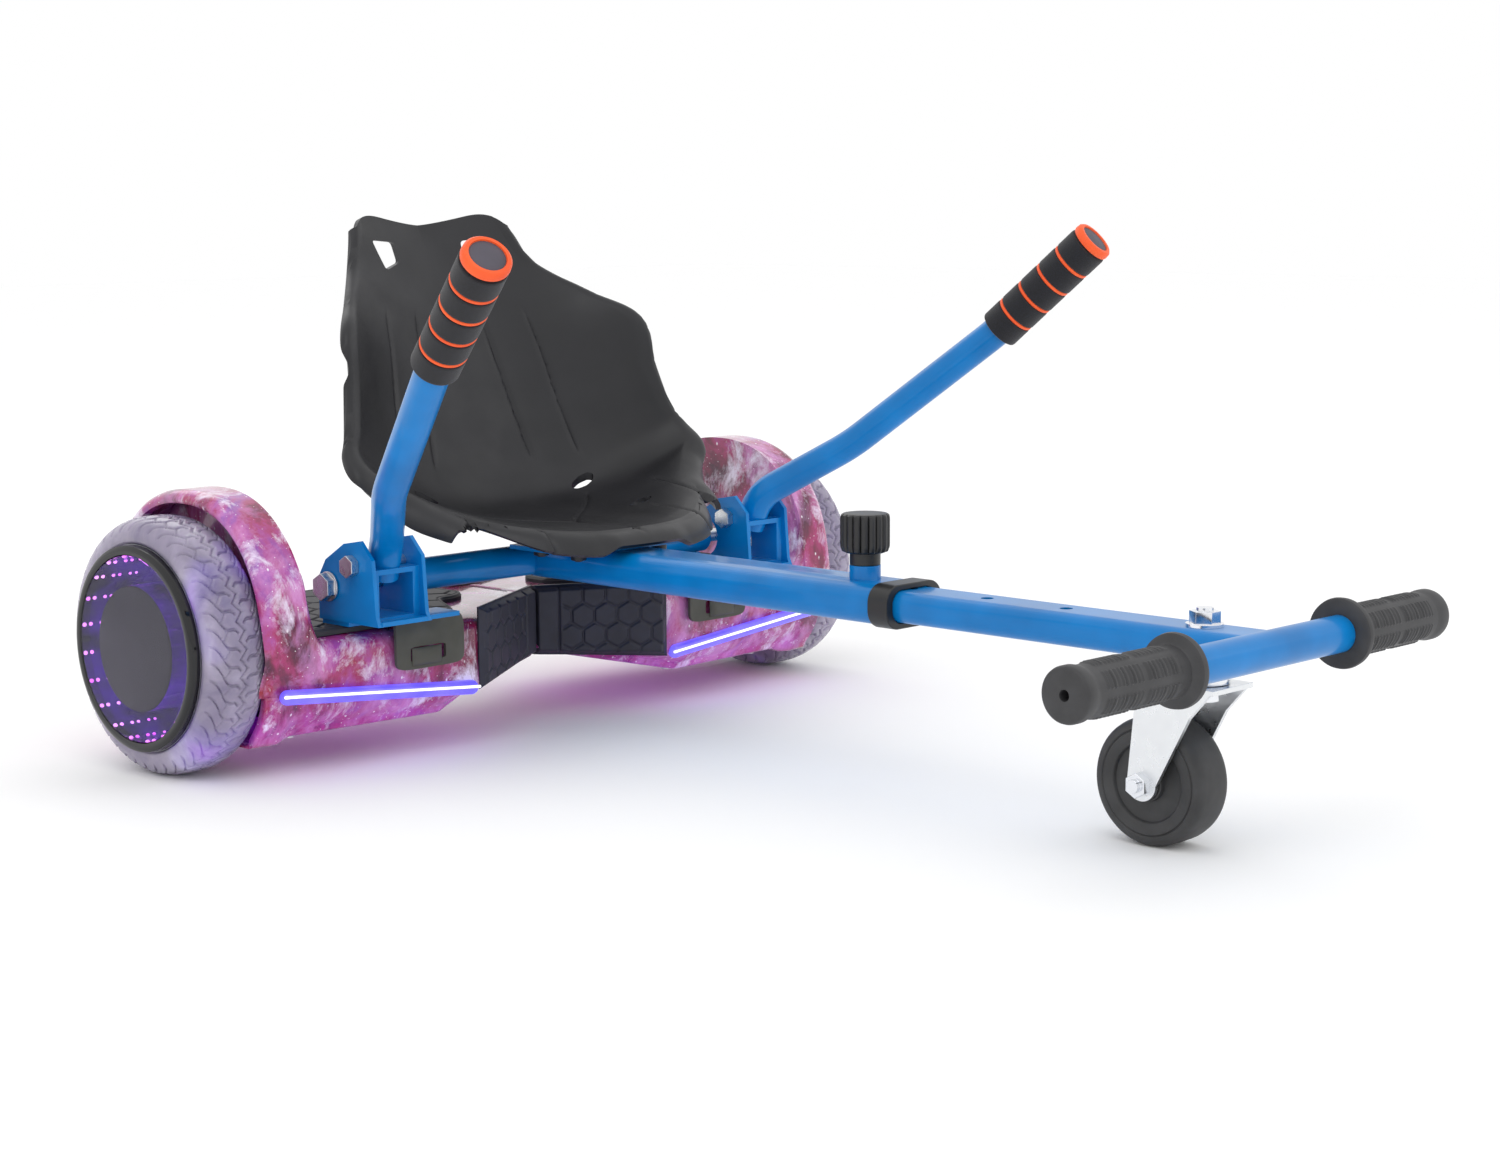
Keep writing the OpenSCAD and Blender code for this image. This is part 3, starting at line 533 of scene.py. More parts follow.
def shell_stations():
    """Places along X where the section changes, close together where the surface turns."""
    cove = ARCH_X - 16 + 18 * np.sin(np.linspace(0, PI / 2, 16))
    return np.concatenate([np.linspace(1, 100, 22), np.linspace(104, ARCH_X - 17, 16), cove,
                           np.linspace(ARCH_X + 4, LIP_X - 9, 10)])


def upper_shell(out):
    """Outer skin over stations, then the chamfered lip and the inside of the wheel arch."""
    x = shell_stations()
    sec = upper_profile(x)
    grid = np.concatenate([np.broadcast_to(x[:, None, None], sec.shape[:2] + (1,)), sec], -1)
    hub = np.array([0.0, AXLE_Z])
    lip = []
    for dx, shrink in ((-8, 0.0), (-4, 1.5), (-1.0, 4.0), (0.0, 6.5), (-1.0, 8.5), (-4, 9.2), (-12, 9.4)):
        ring = sec[-1].copy()
        away = ring - hub
        away /= np.linalg.norm(away, axis=1, keepdims=True)
        top = ease((ring[:, 1:2] - 60) / 60)
        ring -= away * (shrink * (0.35 + 0.65 * top))
        lip.append(np.concatenate([np.full((len(ring), 1), LIP_X + dx), ring], 1))
    grid = np.concatenate([grid, np.array(lip)])
    grid[..., 0] *= out
    return place(grid), quads(*grid.shape[:2])


def lower_profile(x, rows=8):
    """Section of the lower shell at x: sides that draw in from the split to a rounded belly."""
    x = np.asarray(x, float)[:, None]
    half, top = split_line(x)
    foot = np.interp(x, [0, 115, 236, 244, 262],
                     [WAIST - 8, HALF_D - 12, HALF_D - 24, HALF_D - 20, HALF_D - 22])
    low = np.interp(x, [0, 112, 230, 238, 262], [50, 25, 24, 20.8, 20.8])
    s = np.linspace(0, 1, rows)[None, :]
    bow = 3.0 * np.sin(s * PI)
    side = np.stack([half + (foot - half) * s + bow, top + (low + 5 - top) * s], -1)
    t = np.linspace(0, PI / 2, 6)[None, 1:]
    round_off = np.stack([foot - 6 * (1 - np.cos(t)), low + 5 - 5 * np.sin(t)], -1)
    half_ring = np.concatenate([side, round_off], 1)
    across = np.linspace(1, -1, 9)[None, 1:-1] * half_ring[:, -1:, 0]
    flat = np.stack([across, np.broadcast_to(low, (len(x), 7))], -1)
    back = half_ring[:, ::-1].copy()
    back[..., 0] *= -1
    return np.concatenate([half_ring, flat, back], 1)


def lower_shell(out):
    """Tray over stations up to the wheel, with a step where the belly panel meets the outer block."""
    x = np.concatenate([np.linspace(1, 112, 20), np.linspace(116, 230, 20), np.linspace(232, 240, 6),
                        np.linspace(244, LIP_X - 6, 5), [LIP_X - 4.5, LIP_X - 4]])
    sec = lower_profile(x)
    centre = np.array([0.0, 46.0])
    sec[-1] = centre + (sec[-1] - centre) * 0.94
    grid = np.concatenate([np.broadcast_to(x[:, None, None], sec.shape[:2] + (1,)), sec], -1)
    grid[..., 0] *= out
    return place(grid), quads(*grid.shape[:2])


def thicken(piece, wall):
    """Gives a skin its wall, inwards."""
    solid = piece.modifiers.new("wall", "SOLIDIFY")
    solid.thickness = wall * MM
    solid.offset = -1
    return piece


def pad_half_width(x):
    """Half depth of the foot pad at x: a round lobe, a flare, then the full depth with rounded corners."""
    lobe = np.sqrt(np.clip(27.0 ** 2 - (x - 66.0) ** 2, 0, None))
    flare = 27 + (HALF_D - 12 - 27) * ease((x - 68) / 36)
    end = PAD_HIGH[0] - 9.0
    corner = np.where(x > end - 8, 8 - np.sqrt(np.clip(64 - (x - end + 8) ** 2, 0, None)), 0.0)
    return np.where(x < 66, lobe, flare) - corner


def foot_pad(out, cell):
    """Rubber mat: flat top with hexagon grooves inside a plain border, and a rounded rim."""
    x0, x1 = 40.0, PAD_HIGH[0] - 9.0
    s = np.linspace(0, 1, 230)
    x = (x0 + (x1 - x0) * (0.5 - 0.5 * np.cos(s * PI)) * 0.25 + (x1 - x0) * s * 0.75)[:, None]
    v = np.linspace(-1, 1, 250)[None, :]
    half = np.maximum(pad_half_width(x), 0.6)
    fwd = v * half
    border = np.minimum(np.minimum((1 - np.abs(v)) * half, x - x0 + 0 * v), x1 - x + 0 * v)
    groove = hex_edge(x + 3, fwd + 5, cell)
    cut = 1.5 * (1 - ease((groove - 0.6) / 1.0)) * ease((border - 5.2) / 0.8)
    frame_line = 0.9 * (1 - ease((np.abs(border - 5.0) - 0.3) / 0.6))
    rim = 1.6 * (1 - ease(border / 2.2))
    up = DECK_Z + (PAD_HIGH[2] - DECK_Z) - np.maximum(cut, frame_line) - rim
    x = x + 0 * v
    top = np.stack([x * out, fwd, up], -1)
    low = np.stack([x * out, fwd, np.full_like(x, DECK_Z - 0.6)], -1)
    return closed_sheet(place(top), place(low))


def bumper(out, cell):
    """Guards on the slanting faces of the waist, front and rear: a bowed slab with embossed hexagons."""
    s = np.linspace(0, 1, 120)[:, None]
    v = np.linspace(0, 1, 90)[None, :]
    parts = []
    for way in (1.0, -1.0):
        x = 1.2 + 88.0 * s + 0 * v
        fwd = WAIST + (HALF_D - WAIST) * s + 0 * v
        low, high = 47 - 7 * s, 97 - 0.4 * s + 0 * v
        up = low + (high - low) * v
        length = 100.0 * s
        tall = high - low
        border = np.minimum(np.minimum(v * tall, (1 - v) * tall), np.minimum(length, 100 - length))
        groove = hex_edge(length + 6 + 0 * v, up, cell)
        inside = ease((border - 2.6) / 0.8) * ease((length - 20) / 3)
        swell = 5.0 * ease(border / 4.5) - 1.1 * (1 - ease((groove - 0.5) / 0.8)) * inside
        swell = swell - 1.4 * (1 - ease(np.abs(length - 19) / 1.6)) * ease(border / 3)
        nose = 1.5 * (1 - ease(length / 26))
        n = np.array([-0.48, 0.88])
        push = swell + nose
        top = np.stack([(x + n[0] * push * (s > 0.03)) * out, way * (fwd + n[1] * push), up], -1)
        base = np.stack([x * out, way * (fwd - 1.5), up], -1)
        parts.append(closed_sheet(place(top), place(base)))
    return merged(parts)


def light_bar(out, radius, ahead=0.0, rise=0.0):
    """Round-ended lamp tube along the split line: its radius draws in as sqrt(1 - u^2) at both ends."""
    a, b = BAR_IN + [0, 1.2 + ahead, rise], BAR_OUT + [0, 2.0 + ahead, rise]
    s = np.linspace(0, 1, 60)
    path = a + (b - a) * (0.5 - 0.5 * np.cos(PI * s))[:, None]
    end = np.minimum(np.linalg.norm(path - a, axis=1), np.linalg.norm(path - b, axis=1))
    r = radius * np.sqrt(1 - (1 - np.clip(end / radius, 0, 1)) ** 2)
    path[:, 0] *= out
    return tube(place(path), r * MM, 24)


# ---------------------------------------------------------------- wheel shapes

def tyre(out, lugs, steps=1320):
    """Tyre: a rounded section whose radius drops in herringbone grooves and in a zigzag that joins them.

    A groove lies where turn * lugs + lean(|w|) is whole, w being the place across the tread: straight slants
    on the crown, bowed on the shoulders.
    """
    half, mid = (TYRE_OUT - TYRE_IN) / 2, (TYRE_OUT + TYRE_IN) / 2
    w = -half * np.cos(PI * np.linspace(0, 1, 62))
    lift = np.sqrt(np.clip(1 - np.abs(w / half) ** 3.2, 0, None))
    plain = TYRE_R - 15 + 15 * lift ** 0.9
    a = np.linspace(0, 2 * PI, steps, endpoint=False)[:, None]
    across = np.abs(w)[None, :]
    pitch = 2 * PI * TYRE_R / lugs
    lean = across / pitch + 0.22 * np.sin(across * 0.42)
    turn = a * lugs / (2 * PI) + lean + 0.5 * (w > 0)
    gap = np.abs(turn % 1 - 0.5) * pitch
    slant = (1 - ease((gap - 0.5) / 0.9)) * ease((across - 1.5) / 1.5)
    wave = np.abs((a * lugs / (2 * PI)) % 1 - 0.5) * 4 - 1
    zigzag = 1 - ease((np.abs(w[None, :] - 2.6 * wave) - 0.4) / 0.8)
    fine = 1 - ease((np.abs(across - 12 - 1.8 * wave) - 0.3) / 0.7)
    tread = 1 - ease((across - half + 2.4) / 1.6)
    r = plain[None, :] - np.maximum(1.7 * slant, np.maximum(1.4 * zigzag, 0.9 * fine)) * tread
    r = np.minimum(r, TYRE_R - 0.05)
    seat_r = np.array([[TYRE_R - 15.5, DISC_R + 1.0, DISC_R + 0.3]])
    seat_w = half - np.array([[0.1, 0.5, 1.5]])
    ones = np.ones((steps, 1))
    r = np.concatenate([ones * seat_r[:, ::-1], r, ones * seat_r], 1)
    ww = np.concatenate([-ones * seat_w[:, ::-1], ones * w[None, :], ones * seat_w], 1)
    p = np.stack([out * (mid + ww), AXLE_Y + r * np.cos(a), AXLE_Z + r * np.sin(a)], -1) * MM
    return p, quads(steps, ww.shape[1], wrap_u=True, wrap_v=True)


def wheel_lathe(out, profile, steps=128):
    """Profile of (radius, out) about the wheel axle, in metres."""
    p, f = lathe(profile, (0.0, AXLE_Y, AXLE_Z), steps, out)
    return p * MM, f


def lamps(out, count, rows, radius, depth0, pitch):
    """Domed lamps on the outer wall of the mirror tunnel: count round it, in rows that recede."""
    lat = np.linspace(0, PI / 2, 5)
    lon = np.linspace(0, 2 * PI, 8, endpoint=False)
    parts = []
    f = quads(len(lon), len(lat), wrap_u=True)
    for row in range(rows):
        size = 1.5 * 0.92 ** row
        for k in range(count):
            a = 2 * PI * (k + 0.5) / count
            inward = np.array([0.0, -math.cos(a), -math.sin(a)])
            along = np.array([1.0, 0.0, 0.0])
            round_ = np.cross(inward, along)
            ring = np.cos(lon)[:, None, None] * along + np.sin(lon)[:, None, None] * round_
            p = size * (np.cos(lat)[None, :, None] * ring + np.sin(lat)[None, :, None] * inward)
            step = depth0 + pitch * row - (row % 2) * 1.6
            centre = np.array([DISC_HIGH[0] - step, -radius * inward[1], -radius * inward[2]])
            p = p + centre
            p[..., 0] *= out
            p[..., 1] += AXLE_Y
            p[..., 2] += AXLE_Z
            parts.append((p * MM, f))
    return merged(parts)


# ---------------------------------------------------------------- kart shapes

BAR_R = (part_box("foot_bar")[1][2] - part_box("foot_bar")[0][2]) / 2 / MM
PIVOT_Z = (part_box("foot_bar")[1][2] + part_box("foot_bar")[0][2]) / 2 / MM
BRACKET_X = (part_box("foot_bracket_left")[1][0] / MM) - 22.0
LEVER_LINE = np.array([[BRACKET_X, 91.0, 128.0], [BRACKET_X + 2, 100, 152], [216, 155, 190], [261, 258, 276]])
LEVER_BEND = 13.0
GRIP_DIR = np.array([19.0, 73.0, 67.0]) / np.linalg.norm([19.0, 73.0, 67.0])
GRIP_R = 15.0
GRIP_L = 101.0


def mirrored(points, out):
    """Points of (out, forward, up) on the chosen side."""
    p = np.array(points, float)
    p[..., 0] *= out
    return p


def lever(out):
    """Bent tube: straight runs joined by smooth bends, its foot in the bracket and its end under the grip."""
    end = LEVER_LINE[3] + GRIP_DIR * (GRIP_L - 10)
    path = bent_path([*LEVER_LINE, end], LEVER_BEND, 2.0)
    path = place(mirrored(path, out))
    return tube(path, BAR_R * MM, 48)


def along_grip(out, profile, steps=48):
    """Profile of (radius, distance up the grip) turned round the grip's own axis, in metres."""
    prof = np.asarray(profile, float)
    axis = place(mirrored(LEVER_LINE[3] + GRIP_DIR, out)) - place(mirrored(LEVER_LINE[3], out))
    axis = axis / np.linalg.norm(axis)
    foot = place(mirrored(LEVER_LINE[3], out))
    side = np.cross(axis, [0, 0, 1.0])
    side /= np.linalg.norm(side)
    up = np.cross(side, axis)
    a = np.linspace(0, 2 * PI, steps, endpoint=False)[:, None, None]
    ring = np.cos(a) * side + np.sin(a) * up
    p = foot + prof[None, :, 1:2] * MM * axis + prof[None, :, 0:1] * MM * ring
    return p, quads(steps, len(prof), wrap_u=True)


def foam_grip(out, bands):
    """Foam sleeve in bands: each is a barrel with rounded shoulders; the gaps take the coloured rings."""
    pitch = (GRIP_L - 7) / bands
    parts = []
    for i in range(bands):
        s = np.linspace(0, 1, 22)
        reach = (pitch - 1.9) * s
        near = np.minimum(reach, pitch - 1.9 - reach)
        r = GRIP_R + 0.15 - 1.6 * (1 - np.sqrt(1 - (1 - np.clip(near / 1.8, 0, 1)) ** 2))
        prof = np.stack([r, i * pitch + reach], -1)
        prof = np.concatenate([[[BAR_R + 0.1, prof[0, 1]]], prof, [[BAR_R + 0.1, prof[-1, 1]]]])
        parts.append(along_grip(out, np.concatenate([prof, prof[:1]])))
    return merged(parts)


def grip_rings(out, bands):
    """Coloured rubber rings between the foam bands, and the rim of the end cap."""
    pitch = (GRIP_L - 7) / bands
    parts = []
    for i in range(1, bands):
        a = np.linspace(0, 2 * PI, 17)
        z = i * pitch - 0.95
        parts.append(along_grip(out, np.stack([GRIP_R - 0.9 + 0.9 * np.cos(a), z + 1.25 * np.sin(a)], -1)))
    top = GRIP_L - 7
    rim = [(BAR_R, top - 0.6), (GRIP_R - 0.2, top - 0.6), (GRIP_R + 0.1, top + 0.6), (GRIP_R - 0.2, top + 3.6),
           (GRIP_R - 1.6, top + 5.0), (11.4, top + 5.0), (11.0, top + 3.8), (BAR_R, top + 3.6),
           (BAR_R, top - 0.6)]
    parts.append(along_grip(out, rim))
    return merged(parts)


def grip_plug(out):
    """Slightly domed end plug inside the coloured rim."""
    top = GRIP_L - 7
    s = np.linspace(0, 1, 12)
    dome = np.stack([11.2 * (1 - s), top + 3.9 + 1.0 * s * (2 - s)], -1)
    return along_grip(out, np.concatenate([[(0, top + 1), (11.2, top + 1)], dome]))


# Rows from the front lip to the top of the back: middle (forward, up), crest (out, forward, up) and the edge
# of the rolled flange (out, forward, up)
SEAT_ROWS = np.array([
    [164, 145.0, 104, 108, 152, 117, 116, 142], [138, 144, 114, 92, 160, 127, 100, 147],
    [100, 143.5, 125, 72, 169, 137, 77, 155], [62, 144, 140, 56, 181, 150, 60, 170],
    [24, 147, 152, 48, 192, 161, 52, 184], [2, 157, 150, 34, 204, 158, 38, 198],
    [-14, 180, 142, 26, 218, 150, 30, 213], [-27, 215, 134, 16, 249, 142, 20, 245],
    [-39, 250, 130, 9, 283, 137, 12, 279], [-51, 283, 106, -20, 300, 112, -16, 299],
    [-63, 311, 79, -50, 322, 85, -47, 320], [-74, 335, 66, -64, 347, 72, -61, 345],
    [-82, 351, 62, -72, 362, 67, -70, 360]])
CREST = 0.9
BELT_HOLE = [(30, 326.5), (47, 321.5), (55.5, 343), (31, 341)]
PAN_HOLES = [(74, 16), (72, 80)]


def catmull(rows, t):
    """Smooth curve through rows at positions t, by the four nearest rows."""
    i = np.clip(np.floor(t).astype(int), 0, len(rows) - 2)
    f = (t - i)[..., None]
    a, b, c, d = (rows[np.clip(i + k, 0, len(rows) - 1)] for k in (-1, 0, 1, 2))
    return 0.5 * (2 * b + (c - a) * f + (2 * a - 5 * b + 4 * c - d) * f ** 2
                  + (3 * b - a - 3 * c + d) * f ** 3)


def seat_grid(rows, cols):
    """Bucket: each row runs from its middle to a crest as |v|^p, then rolls over into a flange.

    The flange goes from crest to edge along a quarter ellipse. The top row is a shallow V whose corners are
    rounded by pulling them down towards the row below.
    """
    last = len(SEAT_ROWS) - 1
    u = np.linspace(-1, 1, cols)[None, :]
    v = np.abs(u) / CREST
    k = np.linspace(0, last, rows)[:, None] + 0 * u
    corner = np.clip((v - 0.62) / 0.5, 0, 1) ** 2.4
    k = k - 0.85 * corner * np.clip((k - 9) / 3, 0, 1) ** 1.5 + 0.8 * corner * np.clip(1 - k, 0, 1)
    r = catmull(SEAT_ROWS.astype(float), k)
    w = np.clip(v, 0, 1)
    lift = w ** np.interp(k, [0, 1, 7, 11, 12], [3.4, 2.4, 2.4, 1.5, 1.15])
    over = np.clip((v - 1) / (1 / CREST - 1), 0, 1) * PI / 2
    x = r[..., 2] * w + (r[..., 5] - r[..., 2]) * np.sin(over)
    fwd = r[..., 0] + (r[..., 3] - r[..., 0]) * lift + (r[..., 6] - r[..., 3]) * np.sin(over)
    up = r[..., 1] + (r[..., 4] - r[..., 1]) * lift + (r[..., 7] - r[..., 4]) * (1 - np.cos(over))
    lip = np.clip(1 - k / 0.55, 0, 1) * PI / 2
    beside = ease((np.abs(x) - 26) / 16) * (1 - w ** 6)
    up = up - (8.0 * (1 - 0.6 * w ** 3) + 5.0 * beside) * (1 - np.cos(lip))
    fwd = fwd - 3 * (1 - np.sin(lip)) * (k < 0.55)
    return np.stack([x * np.sign(u), fwd, up], -1), k


def groove(d, width, depth):
    """Rounded groove at distance d from its line."""
    return depth * (1 - ease(np.abs(d) / width))


def seat_creases(p):
    """Depth of the creases: two pairs of lines down the back, straight and curved lines on the pan."""
    x, fwd, up = np.abs(p[..., 0]), p[..., 1], p[..., 2]
    back = ease((up - 176) / 14) * (1 - ease((up - 278) / 16)) * (fwd < 20)
    depth = back * np.maximum(groove(x - 46 + (up - 182) * 0.15, 3.2, 1.5),
                              groove(x - 84 + (up - 182) * 0.17, 3.2, 1.5))
    pan = ease((fwd - 22) / 10) * (up < 176)
    for at, deep, first, last in ((72, 1.3, 88, 150), (108, 1.2, 50, 112)):
        reach = ease((fwd - first) / 12) * (1 - ease((fwd - last) / 12))
        depth = np.maximum(depth, groove(x - at, 3.0, deep) * pan * reach)
    curve = 70 * (1 - ease((fwd - 18) / 80))
    return np.maximum(depth, groove((x - curve) * 0.8, 3.0, 1.3) * pan * (1 - ease((fwd - 152) / 8)))


def seat(rows=196, cols=199):
    """Bucket skin with its creases pressed in along the surface normal."""
    p, _ = seat_grid(rows, cols)
    n = np.cross(np.gradient(p, axis=1), np.gradient(p, axis=0))
    n /= np.linalg.norm(n, axis=-1, keepdims=True) + 1e-9
    n *= np.sign(n[rows // 3, cols // 2, 2])
    return place(p - n * seat_creases(p)[..., None]), quads(rows, cols)


def prism(outline, low, high, radius):
    """Prism from low to high over an outline, its corners rounded by quadratic curves of that radius."""
    corners = np.asarray(outline, float)
    ring = []
    for a, b, c in zip(np.roll(corners, 1, 0), corners, np.roll(corners, -1, 0)):
        p, q = b + (a - b) / np.linalg.norm(a - b) * radius, b + (c - b) / np.linalg.norm(c - b) * radius
        t = np.linspace(0, 1, 7)[:, None]
        ring += list((1 - t) ** 2 * p + 2 * t * (1 - t) * b + t ** 2 * q)
    ring = np.array(ring)
    mid = ring.mean(0)
    stack = np.stack([mid + (ring - mid) * k for k in (0, 1, 1, 0)])
    level = np.broadcast_to(np.array([low, low, high, high])[:, None], stack.shape[:2])
    return stack, level


def seat_cutters():
    """Prisms that open the belt holes through the back and the four round holes in the pan."""
    parts = []
    for out in (-1.0, 1.0):
        ring, level = prism(BELT_HOLE, -120, 0, 3.0)
        p = np.stack([out * ring[..., 0], level, ring[..., 1]], -1)
        parts.append((place(p), quads(*ring.shape[:2], wrap_v=True)))
        for x, fwd in PAN_HOLES:
            a = np.linspace(0, 2 * PI, 8, endpoint=False)
            ring, level = prism(np.stack([x + 11 * np.cos(a), fwd + 4.5 * np.sin(a)], -1), 120, 185, 2.0)
            p = np.stack([out * ring[..., 0], ring[..., 1], level], -1)
            parts.append((place(p), quads(*ring.shape[:2], wrap_v=True)))
    return parts


def pierce(piece, parts):
    """Cuts solids out of a piece by an exact boolean, and keeps the result as the piece's own mesh."""
    mesh = bpy.data.meshes.new("cutter")
    points, faces = merged(parts)
    mesh.from_pydata(points.tolist(), [], faces.tolist())
    bm = bmesh.new()
    bm.from_mesh(mesh)
    bmesh.ops.remove_doubles(bm, verts=bm.verts, dist=1e-6)
    bmesh.ops.recalc_face_normals(bm, faces=bm.faces)
    bm.to_mesh(mesh)
    bm.free()
    cutter = bpy.data.objects.new("cutter", mesh)
    bpy.context.scene.collection.objects.link(cutter)
    tool = piece.modifiers.new("holes", "BOOLEAN")
    tool.object, tool.operation, tool.solver = cutter, "DIFFERENCE", "EXACT"
    graph = bpy.context.evaluated_depsgraph_get()
    solid = bpy.data.meshes.new_from_object(piece.evaluated_get(graph))
    piece.modifiers.clear()
    piece.data = solid
    bpy.data.objects.remove(cutter)
    solid.shade_smooth()
    solid.set_sharp_from_angle(angle=math.radians(40))


def strap_flap(out):
    """Flap with a slot: a ring of points from the slot's outline to the flap's, bent forwards at its top."""
    low, high = node_box("strap_flap_left")
    cx, cz = (low[0] + high[0]) / 2, (low[2] + high[2]) / 2
    a = np.linspace(0, 2 * PI, 96, endpoint=False)[:, None]
    v = np.linspace(0, 1, 14)[None, :]
    cos, sin = np.cos(a), np.sin(a)

    def box(e, w, h):
        return w * np.sign(cos) * np.abs(cos) ** e, h * np.sign(sin) * np.abs(sin) ** e

    ox, oz = box(0.28, (high[0] - low[0]) / 2, (high[2] - low[2]) / 2 - 0.5)
    ix, iz = box(0.22, 15.0, 5.0)
    sx, sz = 2.0, -7.5
    x = (sx + ix) * (1 - v) + ox * v
    z = (sz + iz) * (1 - v) + oz * v
    y = 0.0016 * np.clip(z, -99, 99) ** 2 + 1.2 * ease((z - 6) / 10)
    front = HALF_D + 6.5 - y * 0.8
    p = np.stack([out * (cx + x), front, cz + z], -1)
    q = p.copy()
    q[..., 1] -= 2.4
    grid = np.concatenate([p, q[:, ::-1]], 1)
    return place(grid), quads(*grid.shape[:2], wrap_u=True, wrap_v=True)


def strap_end(out):
    """Webbing folded through the slot: a flat loop, wide and thin, that doubles back on itself."""
    low, high = node_box("strap_flap_left")
    cx, cz = (low[0] + high[0]) / 2 + 3.5, low[2] + 9.0
    t = np.linspace(0, 2 * PI, 64, endpoint=False)[:, None]
    v = np.linspace(-1, 1, 12)[None, :]
    thick = 2.6 * np.sqrt(np.clip(1 - np.abs(v) ** 6, 0, 1)) + 0.3
    fwd = HALF_D + 6.6 + thick * np.cos(t) * 1.0
    up = cz + (6.0 + 0 * v) * np.sin(t)
    x = cx + 12.5 * v + 0 * t
    p = np.stack([out * x, fwd, up], -1)
    capped = np.concatenate([p[:, :1] * 0 + p[:, :1].mean(0, keepdims=True), p,
                             p[:, -1:] * 0 + p[:, -1:].mean(0, keepdims=True)], 1)
    return place(capped), quads(*capped.shape[:2], wrap_u=True)


def knob():
    """Fluted hand knob: radius follows |cos| flutes between a rounded top and bottom, on a plain neck."""
    low, high = node_box("clamp_knob")
    y = AXLE_Y - (low[1] + high[1]) / 2
    top, big = high[2], (high[0] - low[0]) / 2 - 0.1
    z = top - np.array([32.6, 32.6, 25.4, 25.2, 24.2, 21, 3.2, 1.2, 0.3, 0, 0])
    r = np.array([0, 9.8, 9.8, 12, big - 1.2, big, big, big - 0.5, big - 1.8, big - 4.5, 0])
    f = np.array([0, 0, 0, 0.4, 0.9, 1, 1, 0.7, 0.1, 0, 0])
    zi, ri, fi = (np.interp(np.linspace(0, len(z) - 1, 60), np.arange(len(z)), row) for row in (z, r, f))
    a = np.linspace(0, 2 * PI, 288, endpoint=False)[:, None]
    flute = (1 - np.abs(np.cos(a * 9)) ** 0.5) * 1.9
    rr = np.clip(ri[None] - fi[None] * flute, 0, None)
    p = np.stack([rr * np.cos(a), y + rr * np.sin(a), zi[None] + 0 * a], -1)
    stud_low = low[2]
    stud = np.array([[0, y + 1e-4 * i, stud_low + (top - 31 - stud_low) * i] for i in (0.0, 0.5, 1.0)])
    s, g = tube(place(stud), 4 * MM, 24)
    return merged([(place(p), quads(*p.shape[:2], wrap_u=True)), (s, g)])


def foot_grips():
    """Rubber grips: flange, barrel with panels of raised ribs, and a flared end with a vent hole."""
    low, high = node_box("foot_grips")
    reach = high[0]
    prof = np.array([[11.1, -100], [19, -100], [20.6, -99.2], [21, -97.5], [20.6, -95], [19, -94],
                     [16.2, -93.2], [14.8, -92], [14.4, -89]])
    s = np.linspace(-88, -13, 120)
    body = np.stack([np.full(len(s), 14.4), s], -1)
    tail = np.array([[14.4, -12], [15.0, -9.5], [15.5, -7], [15.5, -2.5], [15.0, -0.8], [14.0, -0.1],
                     [3.2, -0.1], [3.0, -0.6], [3.0, -7.5], [0, -7.6]])
    prof = np.concatenate([prof, body, tail])
    a = np.linspace(0, 2 * PI, 160, endpoint=False)[:, None]
    x = prof[None, :, 1]
    inside = ease((x + 84) / 2) * (1 - ease((x + 20) / 2)) * ease((np.abs(x + 52) - 2.0) / 1.5)
    band = ease((0.36 - np.abs(((a / (2 * PI) * 6) % 1) - 0.5)) / 0.05)
    rib = 0.5 - 0.5 * np.cos(x * 2 * PI / 3.4)
    lift = inside * band * (0.35 + 0.75 * ease(rib * 1.6 - 0.3))
    r = prof[None, :, 0] + lift
    parts = []
    centre_y = (low[1] + high[1]) / 2
    for out in (-1.0, 1.0):
        p = np.stack([out * (reach + x + 0 * a), centre_y + r * np.cos(a), PIVOT_Z + r * np.sin(a)], -1) * MM
        parts.append((p, quads(*p.shape[:2], wrap_u=True)))
    return merged(parts)


def caster_wheel():
    """Solid rubber wheel: barrel tread with a moulded seam, stepped sides and a hub boss."""
    low, high = node_box("caster_wheel")
    r = (high[2] - low[2]) / 2 - 0.05
    side = [(4.1, 16), (10.6, 16), (11, 15.6), (11.2, 12.2), (22.0, 11.6), (23.0, 12.2), (23.6, 14.0),
            (24.4, 14.6), (30.5, 14.9), (31.2, 14.2), (32.0, 14.9), (33.5, 14.9), (35.8, 14.0),
            (37.2, 12.0), (r - 0.1, 9.0), (r, 3)]
    prof = side + [(rr, -ww) for rr, ww in side[::-1]]
    prof = np.array(prof + prof[:1])
    p, f = lathe(prof, (0.0, (low[1] + high[1]) / 2, (low[2] + high[2]) / 2), 128)
    return p * MM, f


# ---------------------------------------------------------------- finishes by name

